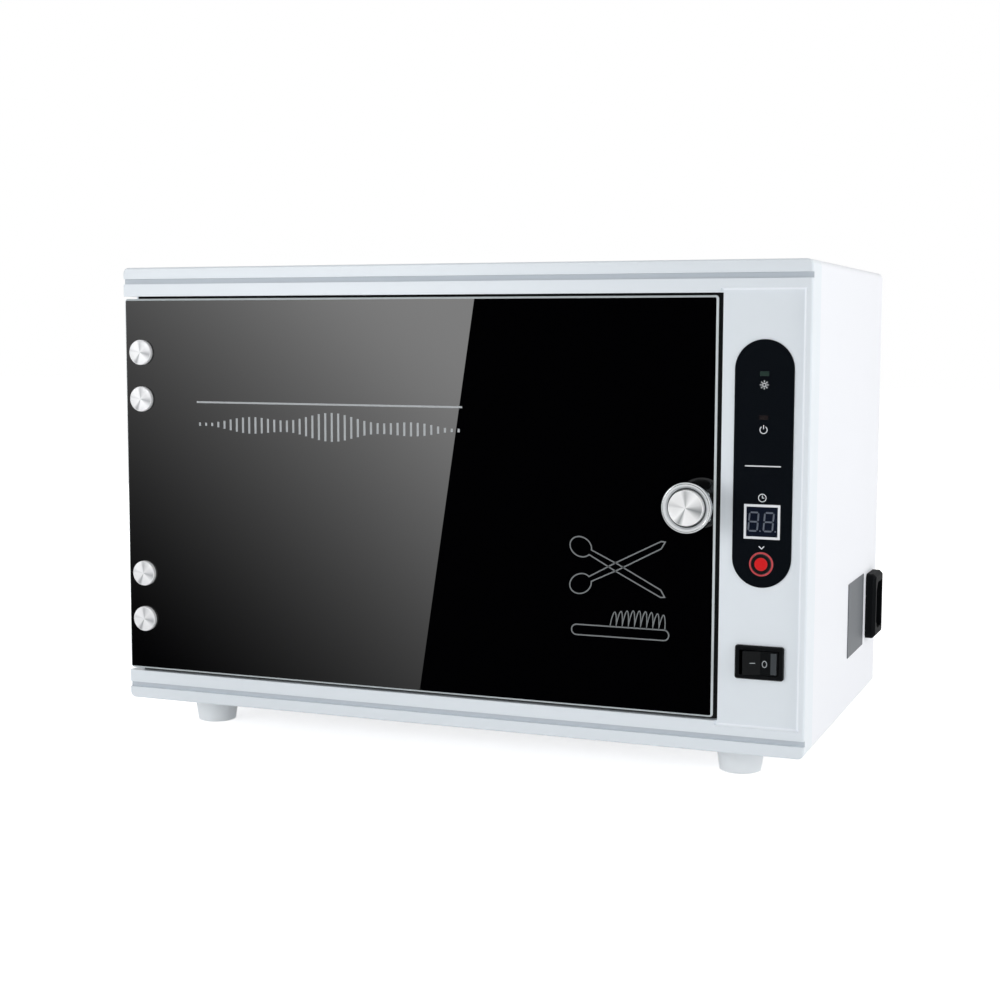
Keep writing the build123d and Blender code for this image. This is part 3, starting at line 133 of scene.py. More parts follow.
def add(made, kind, inputs=(), **settings):
    """Adds a node, sets its properties, and fills inputs from values or other sockets."""
    node = made.node_tree.nodes.new(kind)
    for key, value in settings.items():
        setattr(node, key, value)
    for key, value in dict(inputs).items():
        if isinstance(value, bpy.types.NodeSocket):
            made.node_tree.links.new(value, node.inputs[key])
        else:
            node.inputs[key].default_value = value
    return node


def feed(made, socket, output):
    """Wires an output into one socket of the material's Principled shader."""
    shader = made.node_tree.nodes["Principled BSDF"]
    made.node_tree.links.new(output, shader.inputs[socket])


# %% [markdown]
# ## White moulding and white shell
# The front is a glossy moulding; the shell behind it is coated sheet with a slightly duller skin.
# Both get a very fine bump, because real paint and moulded plastic are never perfectly flat and a
# dead-flat surface looks drawn. The bump's grain is set in millimetres through Object coordinates.


# %% White finishes
def grain(made, grain_mm, depth_mm, roughness=None):
    """Bump = noise of the given grain; Object coordinates are metres, so scale = 1000 / grain."""
    coordinates = add(made, "ShaderNodeTexCoord")
    noise = add(made, "ShaderNodeTexNoise", {"Vector": coordinates.outputs["Object"],
                                             "Scale": 1000.0 / grain_mm, "Detail": 2.0})
    bump = add(made, "ShaderNodeBump", {"Height": noise.outputs["Fac"], "Strength": 0.5,
                                        "Distance": depth_mm / 1000.0})
    feed(made, "Normal", bump.outputs["Normal"])
    if roughness:
        spread = add(made, "ShaderNodeMapRange", {"Value": noise.outputs["Fac"],
                                                  "To Min": roughness[0], "To Max": roughness[1]})
        feed(made, "Roughness", spread.outputs["Result"])
    return made


white_moulding = grain(material("white moulded ABS", "#E6EDF3", Roughness=0.30), 6.0, 0.010)
white_coat = grain(material("white powder coat", "#F1F3F8", Roughness=0.42), 1.6, 0.012)
print("white finishes:", white_moulding.name, "and", white_coat.name)

# %% [markdown]
# ## Metals
# Bright chrome, zinc-plated steel and brushed sheet differ mostly in roughness and tint. Brushed
# sheet also stretches its highlights across the brushing, which the anisotropic socket does.

# %% Metal finishes
chrome = material("bright chrome plate", "#D2D5D7", Metallic=1.0, Roughness=0.06)
zinc = material("zinc-plated steel", "#B9BCC0", Metallic=1.0, Roughness=0.30)
brushed_sheet = material("brushed stainless sheet", "#C8CACC", Metallic=1.0, Roughness=0.28,
                         Anisotropic=0.6)
brass = material("nickel-plated brass", "#D8CFB4", Metallic=1.0, Roughness=0.25)
ferrite = material("sintered ferrite", "#1B1A1A", Roughness=0.6)
print("metals:", [m.name for m in (chrome, zinc, brushed_sheet, brass, ferrite)])

# %% [markdown]
# ## Plastics, rubber and foam

# %% Plain finishes
black_gloss = material("black moulded plastic", "#07090B", Roughness=0.35, Specular_IOR_Level=0.14)
black_matt = material("black inlet moulding", "#0B0D0F", Roughness=0.6, Specular_IOR_Level=0.05)
black_film = material("black printed overlay", "#0B0F14", Roughness=0.15)
foil = material("satin foil", "#54595F", Metallic=0.2, Roughness=0.45)
black_foam = grain(material("black foam strip", "#121214", Roughness=0.9), 0.8, 0.05)
clear_soft = material("soft clear washer", "#9FA3A6", Roughness=0.5)
pale_rubber = grain(material("pale grey rubber", "#EFF3F6", Roughness=0.55), 1.2, 0.01)
holder_white = material("white lamp holder", "#E4E4DF", Roughness=0.45)
board_green = material("green solder resist", "#1D5A33", Roughness=0.35)
display_black = material("display face", "#0E1320", Roughness=0.12)
window_black = material("tinted display window", "#141A28", Roughness=0.05)
button_black = material("black button cap", "#0A0A0C", Roughness=0.25)
button_red = material("red button lens", "#D8181C", Roughness=0.18)
# The bezel is red; its paler pink tone is a painted highlight.
ring_red_painted_highlight = material("red button ring with painted highlight", "#C9494F", Roughness=0.25)
led_green = material("unlit green light", "#22352F", Roughness=0.25)
led_dark = material("unlit red light", "#191213", Roughness=0.25)
quartz = material("quartz tube", "#E9EEF2", Roughness=0.04, Transmission_Weight=0.85, IOR=1.46)

# %% [markdown]
# ## Black glass
# The door is toughened glass with black behind it: a mirror-smooth black that only shows
# reflections. Its ground chamfer scatters light and looks almost white, and the deep green rim
# behind it is dark. One CAD node holds all three, and a mesh can carry several materials: each
# face gets one by its normal. The front and back faces point along Y, the chamfer slopes, and the
# rim points away from Y.

# %% Glass and its ground edge
black_glass = material("black toughened glass", "#020203", Roughness=0.0, IOR=1.5)
ground_edge = material("ground glass edge", "#CDD4D6", Roughness=0.45)
glass_rim = material("deep glass rim", "#2A3130", Roughness=0.2)


def paint_faces(node, materials, choose):
    """Gives every face of a CAD node the material whose number choose(normals, centres) returns."""
    mesh = nodes[node].data
    mesh.materials.clear()
    for made in materials:
        mesh.materials.append(made)
    count = len(mesh.polygons)
    normals = np.zeros(count * 3, np.float32)
    centres = np.zeros(count * 3, np.float32)
    mesh.polygons.foreach_get("normal", normals)
    mesh.polygons.foreach_get("center", centres)
    centres = (centres.reshape(-1, 3) - CORNER) * 1000
    picked = np.asarray(choose(normals.reshape(-1, 3), centres), np.int32)
    mesh.polygons.foreach_set("material_index", picked)
    return picked


ground = paint_faces("door_glass", [black_glass, ground_edge, glass_rim],
                     lambda n, c: np.digitize(-np.abs(n[:, 1]), [-0.9, -0.3]))
print("glass faces, chamfer and rim:", np.bincount(ground, minlength=3))

# %% [markdown]
# ## Shade in the rails' grooves
# A groove this narrow is darker inside than open moulding, more than the soft light shows, and the
# cove round the control column catches a light line. The faces deep in the two grooves get the
# same white a step darker and those of the cove a step lighter, again picked by where they lie.

# %% Groove floors and cove
groove_shade = material("white moulding in shade", "#C6CDD4", Roughness=0.45)
cove_light = material("white moulding at the cove", "#F3F8FE", Roughness=0.30)
FRAME_WIDTH = (frame_high.x - frame_low.x) * 1000
FRAME_HEIGHT = (frame_high.z - frame_low.z) * 1000
GROOVE_BAND = (4.0, 11.0)  # from the frame's top or bottom edge
GROOVE_FLOOR = (0.4, 3.0)  # behind its front face
COVE_FLOOR = (0.02, 1.45)
COVE_END = 12.0  # the cove starts this far from the top and bottom
COLUMN_HALF = 14.0  # half the flat between the cove's two sides


def between(values, span):
    """True where low < value < high."""
    return (values > span[0]) & (values < span[1])


def shade(n, c):
    """1 in the grooves' floors, 2 on the column's cove, 0 elsewhere; e = distance to an end."""
    e = np.minimum(c[:, 2], FRAME_HEIGHT - c[:, 2])
    floors = between(c[:, 1], GROOVE_FLOOR) & (np.abs(n[:, 1]) > 0.5) & between(e, GROOVE_BAND)
    column = (c[:, 0] > GLASS_HIGH[0] + 2.5) & (c[:, 0] < FRAME_WIDTH - 1.0)
    cove = between(c[:, 1], COVE_FLOOR) & (e > COVE_END) & (np.abs(n[:, 1]) < 0.97)
    border = (np.abs(c[:, 0] - CONTROL_X) > COLUMN_HALF) | (e < COVE_END + 2.0)
    return np.where(floors, 1, np.where(column & cove & border, 2, 0))


shaded = paint_faces("front_frame", [white_moulding, groove_shade, cove_light], shade)
print("open, groove and cove faces:", np.bincount(shaded, minlength=3))

# %% [markdown]
# ## Dressing the CAD pieces
# Most nodes need one finish only. A table of node and material keeps that in one place. The light
# pipes share a node, so their faces are picked by height: the upper one is green, the lower one
# dark.

# %% One finish per node
finishes = {
    white_coat: ["cabinet_shell", "rear_cover"],
    zinc: ["rear_cover_screws", "lamp_end_caps", "ballast", "board_screws", "door_hinge_leaves",
           "frame_hinge_leaves", "frame_hinge_screws", "hinge_pins", "hinge_screws", "knob_screw",
           "strike_plate", "foot_screws"],
    brushed_sheet: ["chamber_liner", "shelf_ledges", "lamp_reflector"],
    chrome: ["wire_shelf"],
    black_foam: ["door_seal", "edge_seal"],
    foil: ["side_plate"],
    clear_soft: ["hinge_pads", "knob_washer"],
    quartz: ["uv_tube"],
    holder_white: ["lamp_holders", "board_standoffs"],
    board_green: ["control_board"],
    display_black: ["display_module"],
    window_black: ["display_window"],
    black_film: ["control_overlay"],
    button_black: ["button_cap"],
    button_red: ["button_lens"],
    ring_red_painted_highlight: ["button_bezel"],
    black_gloss: ["rocker_housing", "magnetic_catch", "reed_switch", "tact_switch"],
    black_matt: ["inlet_housing"],
    ferrite: ["door_magnet", "catch_magnet"],
    brass: ["rocker_terminals", "inlet_pins"],
    pale_rubber: ["feet"],
}
for made, names in finishes.items():
    for name in names:
        nodes[name].data.materials.clear()
        nodes[name].data.materials.append(made)
led_low, led_high = corner_box("indicator_leds")
led_middle = (led_low[2] + led_high[2]) / 2
paint_faces("indicator_leds", [led_dark, led_green],
            lambda n, c: (c[:, 2] > led_middle).astype(int))
print("dressed", sum(len(names) for names in finishes.values()), "nodes")


# %% [markdown]
# ## Turned parts with a spun face
# A spun metal disc shows wedges that meet in its middle, because its fine grooves run in circles
# and each one spreads light across itself. Here those wedges of light are painted highlights: each
# turned piece keeps its place on the disc as a UV map, and a colour ramp over the angle paints the
# metal lighter and darker round it. The grooves' own direction also comes from that map, for the
# anisotropic highlight.

# %% Turned surfaces
def turned(name, centres, profile, made, steps=96):
    """Surface of revolution about Y: x = cx + r cos a, z = cz + r sin a, y from the profile.

    The UV map holds (r cos a, r sin a) in millimetres. Several centres make one mesh."""
    profile = np.asarray(profile, float)
    angle = np.linspace(0, 2 * np.pi, steps, endpoint=False)
    ring = np.stack([np.cos(angle), np.sin(angle)], axis=1)
    rows = len(profile)
    local = profile[:, None, 0, None] * ring[None]
    all_points, all_faces, all_local = [], [], []
    i, j = np.meshgrid(np.arange(rows - 1), np.arange(steps), indexing="ij")
    k = (j + 1) % steps
    quads = np.stack([i * steps + j, i * steps + k,
                      (i + 1) * steps + k, (i + 1) * steps + j], axis=-1)
    for number, (cx, cz) in enumerate(centres):
        points = np.stack([cx + local[..., 0], np.broadcast_to(profile[:, None, 1], (rows, steps)),
                           cz + local[..., 1]], axis=-1)
        all_points.append(points.reshape(-1, 3))
        all_faces.append(quads.reshape(-1, 4) + number * rows * steps)
        all_local.append(local.reshape(-1, 2))
    faces = np.concatenate(all_faces)
    spots = np.concatenate(all_local)
    mesh = bpy.data.meshes.new(name)
    mesh.from_pydata(place(np.concatenate(all_points)), [], faces.tolist())
    layer = mesh.uv_layers.new(name="disc_mm")
    layer.data.foreach_set("uv", spots[faces.ravel()].astype(np.float32).ravel())
    mesh.polygons.foreach_set("use_smooth", np.ones(len(faces), bool))
    mesh.materials.append(made)
    mesh.update()
    made_object = bpy.data.objects.new(name, mesh)
    bpy.context.scene.collection.objects.link(made_object)
    return made_object


# Painted highlights round a spun face: angle in degrees, and how far from dark to bright it is
# painted there.
PAINTED_HIGHLIGHT_WEDGES = [(-180, 0.93), (-135, 1.0), (-114, 0.0), (-98, 1.0), (-45, 1.0), (-12, 0.0), (14, 0.7),
          (45, 1.0), (72, 0.7), (92, 0.25), (108, 1.0), (152, 1.0), (170, 0.65), (180, 0.93)]


def spun(name, bright, dark, metallic, roughness, flat_mm):
    """Metal with painted highlight wedges: colour = ramp(atan2(v, u)); its tangent (-v, 0, u) runs
    round the disc.

    Past the flat face's radius the ramp is read at its start, so the rolled rim stays even."""
    made = material(name, bright, Metallic=metallic, Roughness=roughness, Anisotropic=0.8)
    spot = add(made, "ShaderNodeUVMap", uv_map="disc_mm")
    parts = add(made, "ShaderNodeSeparateXYZ", {"Vector": spot.outputs["UV"]})
    minus = add(made, "ShaderNodeMath", {0: parts.outputs["Y"], 1: -1.0}, operation="MULTIPLY")
    along = add(made, "ShaderNodeCombineXYZ", {"X": minus.outputs[0], "Z": parts.outputs["X"]})
    turned_to_world = add(made, "ShaderNodeVectorTransform", {"Vector": along.outputs[0]},
                          vector_type="VECTOR", convert_from="OBJECT", convert_to="WORLD")
    even = add(made, "ShaderNodeVectorMath", {0: turned_to_world.outputs[0]}, operation="NORMALIZE")
    feed(made, "Tangent", even.outputs[0])
    angle = add(made, "ShaderNodeMath", {0: parts.outputs["Y"], 1: parts.outputs["X"]},
                operation="ARCTAN2")
    turn = add(made, "ShaderNodeMapRange", {"Value": angle.outputs[0], "From Min": -np.pi,
                                            "From Max": np.pi})
    radius = add(made, "ShaderNodeVectorMath", {0: spot.outputs["UV"]}, operation="LENGTH")
    flat = add(made, "ShaderNodeMath", {0: radius.outputs["Value"], 1: flat_mm},
               operation="LESS_THAN")
    kept = add(made, "ShaderNodeMath", {0: turn.outputs["Result"], 1: flat.outputs[0]},
               operation="MULTIPLY")
    wedge = add(made, "ShaderNodeValToRGB", {"Fac": kept.outputs[0]})
    low, high = np.array(colour(dark)), np.array(colour(bright))
    stops = wedge.color_ramp.elements
    while len(stops) < len(PAINTED_HIGHLIGHT_WEDGES):
        stops.new(0.5)
    for stop, (degrees, level) in zip(stops, PAINTED_HIGHLIGHT_WEDGES):
        stop.position = (degrees + 180) / 360
    for stop, (degrees, level) in zip(stops, PAINTED_HIGHLIGHT_WEDGES):
        stop.color = low + (high - low) * level
    feed(made, "Base Color", wedge.outputs["Color"])
    return made


# The lighter and darker wedges on both spun faces are painted highlights in the base colour.
spun_steel = spun("spun steel face with painted highlights", "#FDFEFF", "#94989A", 0.20, 0.30, 7.6)
spun_cap = spun("spun cap face with painted highlights", "#F3F4F6", "#A6A8AC", 0.15, 0.32, 5.9)
print("wedges:", len(PAINTED_HIGHLIGHT_WEDGES), "stops")

# %% [markdown]
# ## Hinge caps and knob
# The caps and the knob are what the eye finds first, so they get finer profiles than the CAD's:
# soft rolled rims, a shallow dish, a groove round the spun disc. Radii and heights are read from
# the CAD's boxes, and the caps are drawn a third of a millimetre smaller in radius. These pieces
# stand for the CAD nodes in the picture.

# %% Cap and knob profiles
CAP_LOW, CAP_HIGH = corner_box("hinge_caps")
CAP_X, CAP_R = (CAP_LOW[0] + CAP_HIGH[0]) / 2, (CAP_HIGH[0] - CAP_LOW[0]) / 2
CAP_TRIM = 0.35
CAP_APART = 2.0  # a larger step in height starts the next cap
cap_heights = np.array(sorted(round((corner.co.z - CORNER[2]) * 1000, 2)
                              for corner in nodes["hinge_caps"].data.vertices))
groups = np.split(cap_heights, np.flatnonzero(np.diff(cap_heights) > CAP_APART) + 1)
cap_centres = [(CAP_X, (g[0] + g[-1]) / 2) for g in groups]
print("cap centres:", [(round(float(x), 1), round(float(z), 1)) for x, z in cap_centres])


def rolled(radius, y_front, y_back, roll, count=7):
    """Profile points round an outer front edge: a quarter circle of the given roll radius."""
    turn = np.linspace(0, np.pi / 2, count)
    return [(radius - roll + roll * np.sin(t), y_front + roll - roll * np.cos(t)) for t in turn] + [
        (radius, y_back)]


front, cap_r = CAP_LOW[1], CAP_R - CAP_TRIM
cap_profile = [(0.001, front + 0.10), (cap_r * 0.5, front + 0.06)] + rolled(
    cap_r, front, CAP_HIGH[1], 0.6)
caps = turned("cap_covers", cap_centres, cap_profile, spun_cap)
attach(caps, "door")
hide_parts("hinge_caps")

knob_r = (KNOB_HIGH[0] - KNOB_LOW[0]) / 2
face_low, face_high = corner_box("knob_face")
face_r = (face_high[0] - face_low[0]) / 2
y0, y1 = KNOB_LOW[1], KNOB_HIGH[1]
knob_profile = [(face_r - 0.2, y0 + 1.7), (face_r + 0.3, y0 + 2.0), (face_r + 0.7, y0 + 1.5),
                (face_r + 1.0, y0 + 0.8), (face_r + 2.0, y0 + 0.25), (knob_r - 0.9, y0 + 0.02)]
knob_profile += rolled(knob_r, y0, y0 + 3.9, 0.8)
knob_profile += [(knob_r - 0.5, y0 + 4.7), (knob_r - 1.6, y0 + 5.4), (8.2, y0 + 6.7),
                 (6.6, y0 + 7.7), (6.1, y0 + 8.6), (6.0, y1 - 1.6), (6.3, y1 - 0.6), (6.8, y1)]
knob = turned("knob_body", [(KNOB_X, KNOB_Z)], knob_profile, chrome)
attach(knob, "door")
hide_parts("door_knob")

f0 = face_low[1]
face_profile = [(0.001, f0 + 0.12), (face_r * 0.3, f0 + 0.10), (face_r * 0.7, f0 + 0.04)] + rolled(
    face_r, f0, y0 + 1.3, 0.3)
face = turned("knob_disc", [(KNOB_X, KNOB_Z)], face_profile, spun_steel)
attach(face, "door")
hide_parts("knob_face")
print("knob", round(2 * knob_r, 1), "mm with a face of", round(2 * face_r, 1), "mm")

# %% [markdown]
# ## Printed lines
# Silk-screened marks are ink a few hundredths of a millimetre thick. Here each mark is a path of
# constant width: the path is pushed half a width to both sides, and the strip between them is the
# ink. Marks stand 0.03 mm in front of their surface, so that the two never flicker.


# %% Ribbons of ink
def strip(points, width, closed=False):
    """Quads of a path p: p +/- n w / 2, where n is the mitred normal at each point of the path."""
    p = np.asarray(points, float)
    before = np.roll(p, 1, axis=0) if closed else np.vstack([2 * p[0] - p[1], p[:-1]])
    after = np.roll(p, -1, axis=0) if closed else np.vstack([p[1:], 2 * p[-1] - p[-2]])
    t0 = (p - before) / np.maximum(np.linalg.norm(p - before, axis=1), 1e-9)[:, None]
    t1 = (after - p) / np.maximum(np.linalg.norm(after - p, axis=1), 1e-9)[:, None]
    n0, n1 = np.stack([-t0[:, 1], t0[:, 0]], 1), np.stack([-t1[:, 1], t1[:, 0]], 1)
    mitre = n0 + n1
    mitre /= np.maximum(np.linalg.norm(mitre, axis=1), 1e-9)[:, None]
    reach = width / 2 / np.clip((mitre * n0).sum(1), 0.35, 1.0)[:, None]
    left, right = p + mitre * reach, p - mitre * reach
    count = len(p)
    i = np.arange(count if closed else count - 1)
    k = (i + 1) % count
    faces = np.stack([i, k, k + count, i + count], axis=1)
    return np.vstack([left, right]), faces.tolist()


def arc(cx, cz, radius, start, end, count=25):
    """Points of a circle from start to end degrees: (cx + r cos a, cz + r sin a)."""
    a = np.radians(np.linspace(start, end, count))
    return np.stack([cx + radius * np.cos(a), cz + radius * np.sin(a)], axis=1)


def ink(name, shapes, y, made, body, turn=None):
    """One flat mesh at depth y from (points, faces) shapes in X and Z; turn places it otherwise."""
    corners, faces = [], []
    for points, shape_faces in shapes:
        base = sum(len(c) for c in corners)
        points = np.asarray(points, float)
        corners.append(np.stack([points[:, 0], np.full(len(points), y), points[:, 1]], axis=1))
        faces += [[base + index for index in one] for one in shape_faces]
    spots = np.vstack(corners)
    if turn is not None:
        spots = turn(spots)
    mesh = bpy.data.meshes.new(name)
    mesh.from_pydata(place(spots), [], faces)
    mesh.materials.append(made)
    printed = bpy.data.objects.new(name, mesh)
    bpy.context.scene.collection.objects.link(printed)
    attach(printed, body)
    return printed


def filled(points):
    """One face with the given outline."""
    return np.asarray(points, float), [list(range(len(points)))]


INK = 0.03
print("ink stands", INK, "mm proud")

# %% [markdown]
# ## Pictures on the glass
# The door carries thin grey line drawings of plain tools: a pair of scissors lying open, and a
# brush under it. A row of light rays under a thin line lies on its left half. Each outline is a
# formula, so a picture can be moved or resized with its arguments. The ink is only a little
# lighter than the reflections around it.

# %% Scissors, brush and rays
glass_ink = material("pale grey glass ink", "#6E7274", Roughness=0.5)
pale_ink = material("silver glass ink", "#A9ADB0", Roughness=0.5)
y_glass = GLASS_FRONT - INK
LINE, BRISTLE_LINE, OVERLINE, STROKE = 0.6, 0.5, 0.9, 1.1


def scissors(cx, cz, size):
    """Two halves crossing at (cx, cz), each an outline u, v turned by the blade's angle:

    (x, z) = (cx + u cos a + s v sin a, cz + s (v cos a - u sin a)) with s = +1 and -1."""
    ring = arc(0.0, 0.0, 1.0, -16, -344, 37) * [0.115, 0.095] - [0.40, 0.0]
    outline = np.vstack([[(-0.10, 0.032), (0.02, 0.036), (0.50, 0.030), (0.565, -0.012),
                          (0.53, -0.034), (0.02, -0.036), (-0.10, -0.032)], ring]) * size
    a = np.radians(27.0)
    halves = []
    for side in (1, -1):
        u, v = outline[:, 0], outline[:, 1]
        half = np.stack([cx + u * np.cos(a) + v * np.sin(a),
                         cz + side * (v * np.cos(a) - u * np.sin(a))], axis=1)
        halves.append(strip(half, LINE, closed=True))
    return halves


def brush(cx, cz, length, tufts):
    """A long rounded back, and bristle arches on its right half: z = z0 + h |sin(pi n t)|^0.6."""
    half, r = length / 2, 2.4
    back = np.vstack([arc(cx + half - r, cz, r, -90, 90, 15),
                      arc(cx - half + r, cz, r, 90, 270, 15)])
    t = np.linspace(0, 1, 12 * tufts + 1)
    x = cx - 0.10 * length + t * 0.56 * length
    crown = 8.0 * (0.82 + 0.18 * np.sin(np.pi * t))
    z = cz + r + crown * np.abs(np.sin(np.pi * tufts * t)) ** 0.6
    bristles = np.stack([x + 0.12 * (z - cz - r), z], axis=1)
    return [strip(back, LINE, closed=True), strip(bristles, BRISTLE_LINE)]


def rays(x0, x1, z0, z1, count):
    """Upright strokes whose height swells and fades: h = H |sin(pi t)| (0.45 + 0.55 sin^2(9 t))."""
    shapes = [strip([(x0, z1), (x1, z1)], OVERLINE)]
    t = (np.arange(count) + 0.5) / count
    middle = (z0 + z1) / 2 - 1.5
    reach = (z1 - z0 - 5) / 2 * np.sin(np.pi * t) * (0.45 + 0.55 * np.sin(9 * t) ** 2)
    for x, h in zip(x0 + t * (x1 - x0), np.maximum(reach, 0.8)):
        shapes.append(strip([(x, middle - h), (x, middle + h)], STROKE))
    return shapes


ink("scissors_print", scissors(cx=262.0, cz=81.5, size=47.0), y_glass, glass_ink, "door")
ink("brush_print", brush(cx=264.3, cz=51.5, length=46.5, tufts=9), y_glass, glass_ink, "door")
ink("ray_print", rays(x0=42.0, x1=186.0, z0=134.0, z1=153.0, count=41), y_glass, pale_ink, "door")
print("glass pictures done")

# %% [markdown]
# ## Marks on the control column
# The black film has white marks at its lights, display and button: rays for the lamp at work, the
# usual broken ring for power, a clock face over the display and a small arrow over the button.

# %% Column marks
white_ink = material("white ink", "#E3E6EA", Roughness=0.5)
y_film = OVERLAY_LOW[1] - INK
LAMP_Z, POWER_Z, DIVIDER_Z, CLOCK_Z, ARROW_Z = 165.3, 145.6, 129.6, 115.6, 93.0
FINE, BOLD = 0.32, 0.36
marks = []
for angle in np.arange(0, 360, 45):
    direction = np.array([np.cos(np.radians(angle)), np.sin(np.radians(angle))])
    centre = np.array([CONTROL_X, LAMP_Z])
    marks.append(strip([centre + 1.15 * direction, centre + 2.0 * direction], FINE))
marks.append(strip(arc(CONTROL_X, LAMP_Z, 0.75, 0, 345, 20), FINE, closed=True))
marks.append(strip(arc(CONTROL_X, POWER_Z, 1.6, 125, 415, 25), BOLD))
marks.append(strip([(CONTROL_X, POWER_Z + 0.3), (CONTROL_X, POWER_Z + 2.1)], BOLD))
marks.append(strip([(CONTROL_X - 8.0, DIVIDER_Z), (CONTROL_X + 8.0, DIVIDER_Z)], 0.5))
marks.append(strip(arc(CONTROL_X, CLOCK_Z, 1.7, 0, 345, 25), FINE, closed=True))
marks.append(strip([(CONTROL_X, CLOCK_Z + 1.1), (CONTROL_X, CLOCK_Z),
                    (CONTROL_X + 0.9, CLOCK_Z)], 0.3))
marks.append(strip([(CONTROL_X - 1.2, ARROW_Z + 1.2), (CONTROL_X, ARROW_Z),
                    (CONTROL_X + 1.2, ARROW_Z + 1.2)], 0.4))
ink("column_marks", marks, y_film, white_ink, "cabinet")
window_low, window_high = corner_box("display_window")
x0, x1, z0, z1 = window_low[0], window_high[0], window_low[2], window_high[2]
RIM = 1.1
edge = RIM / 2
rim = [(x0 - edge, z0 - edge), (x1 + edge, z0 - edge),
       (x1 + edge, z1 + edge), (x0 - edge, z1 + edge)]
ink("display_rim", [strip(rim, RIM, closed=True)], y_film, white_ink, "cabinet")

# %% [markdown]
# ## Unlit figures
# A seven-segment figure is seven lozenges. Unlit, they are just a little paler than the face
# behind them. Two figures lean slightly to the right, as such figures do, each with a point at its
# foot.


# %% Seven segments
def segments(cx, cz, width, height, thick, lean):
    """Six-sided bars between the corner points of a figure; x leans by lean times height."""
    w, h = width / 2, height / 2
    spots = {"a": [(-w, h), (w, h)], "g": [(-w, 0), (w, 0)], "d": [(-w, -h), (w, -h)],
             "b": [(w, h), (w, 0)], "c": [(w, 0), (w, -h)], "f": [(-w, h), (-w, 0)],
             "e": [(-w, 0), (-w, -h)]}
    shapes = []
    for start, end in spots.values():
        s, e = np.array(start, float), np.array(end, float)
        along = (e - s) / np.linalg.norm(e - s)
        side = np.array([-along[1], along[0]]) * thick / 2
        s, e = s + along * thick * 0.25, e - along * thick * 0.25
        outline = np.array([s, s + along * thick / 2 + side, e - along * thick / 2 + side, e,
                            e - along * thick / 2 - side, s + along * thick / 2 - side])
        outline[:, 0] += lean * outline[:, 1]
        shapes.append(filled(outline + [cx, cz]))
    shapes.append(filled(arc(cx + w + 1.0, cz - h, thick * 0.45, 0, 330, 12)))
    return shapes


unlit = material("unlit figure segments", "#59606C", Roughness=0.4)
middle_x, middle_z = (x0 + x1) / 2 - 0.4, (z0 + z1) / 2
figures = [shape for shift in (-3.4, 3.4)
           for shape in segments(middle_x + shift, middle_z, width=4.0, height=8.2, thick=0.75,
                                 lean=0.08)]
ink("display_figures", figures, window_low[1] - INK, unlit, "cabinet")
print("display figures:", len(figures), "shapes")

# %% [markdown]
# ## The rocker's marks
# The paddle has two faces that meet in a shallow valley, and it is stored tilted about its pivot.
# Its marks are drawn flat in the paddle's own frame, dropped onto those two faces, and then turned
# with them. The pivot comes from the joint that moves the paddle.

# %% Marks on the paddle
PIVOT = next(j for j in frame["joints"] if j["name"] == "rocker_tilt")["pos_m"]
PIVOT_MM = (np.array(PIVOT) - CORNER) * 1000
VALLEY = 4.4  # from the pivot to the paddle's lowest line
SLOPE = 1.2 / 7.8  # each face rises to its end
TILT = np.radians(9.0)
RIB_RISE, RIB_START = 0.25, 3.5


def on_paddle(spots):
    """y = -(valley + slope |x|) + y0, then x, y turned by the tilt about the pivot."""
    x, y, z = spots[:, 0], spots[:, 1] - VALLEY - SLOPE * np.abs(spots[:, 0]), spots[:, 2]
    return np.stack([PIVOT_MM[0] + x * np.cos(TILT) - y * np.sin(TILT),
                     PIVOT_MM[1] + x * np.sin(TILT) + y * np.cos(TILT), PIVOT_MM[2] + z], axis=1)


rocker_ink = material("grey rocker ink", "#A4AAAE", Roughness=0.5)
dash = strip([(-4.6, 0), (-2.2, 0)], 0.32)
ring = strip(arc(0.0, 0.0, 1.0, 0, 345, 28) * [1.0, 1.4] + [1.9, -0.3], 0.34, closed=True)
ink("rocker_marks", [dash, ring], -INK, rocker_ink, "power_rocker", turn=on_paddle)
# The raised rib at the paddle's end is painted a lighter grey: a painted highlight where its facet
# catches the light.
rib_painted_highlight = material("rocker rib painted highlight", "#33383C", Roughness=0.4)


def on_rib(n, c):
    """Faces whose centres, turned back by the tilt, stand more than the rise over the paddle."""
    x, y = c[:, 0] - PIVOT_MM[0], c[:, 1] - PIVOT_MM[1]
    u, v = x * np.cos(TILT) + y * np.sin(TILT), y * np.cos(TILT) - x * np.sin(TILT)
    return ((v < -VALLEY - SLOPE * np.abs(u) - RIB_RISE) & (u > RIB_START)).astype(int)


print("rib faces:", int(paint_faces("rocker_paddle", [black_gloss, rib_painted_highlight], on_rib).sum()))

# %% [markdown]
# ## Camera
# The view is that of the photograph: from the right and slightly above the middle, with a long
# lens. A camera's matrix is its right, up and backward directions as columns, and those follow
# from three angles: how far it is turned, tilted down and rolled.

# %% Camera
CAMERA_MM = np.array([495.23, -731.15, 185.59])
yaw, pitch, roll = np.radians([21.621, 5.483, 0.177])
forward = np.array([-np.sin(yaw) * np.cos(pitch), np.cos(yaw) * np.cos(pitch), -np.sin(pitch)])
level = np.array([np.cos(yaw), np.sin(yaw), 0.0])
upward = np.cross(level, forward)
right = np.cos(roll) * level + np.sin(roll) * upward
up = -np.sin(roll) * level + np.cos(roll) * upward
camera = bpy.data.objects.new("camera", bpy.data.cameras.new("camera"))
camera.data.sensor_width = 36.0
camera.data.lens = 60.95
camera.data.clip_start, camera.data.clip_end = 0.01, 20.0
camera.matrix_world = Matrix.Translation(Vector(place(CAMERA_MM))) @ Matrix(
    np.stack([right, up, -forward], axis=1)).to_4x4()
bpy.context.scene.collection.objects.link(camera)
bpy.context.scene.camera = camera
print("camera at", [round(float(c), 3) for c in camera.matrix_world.translation])

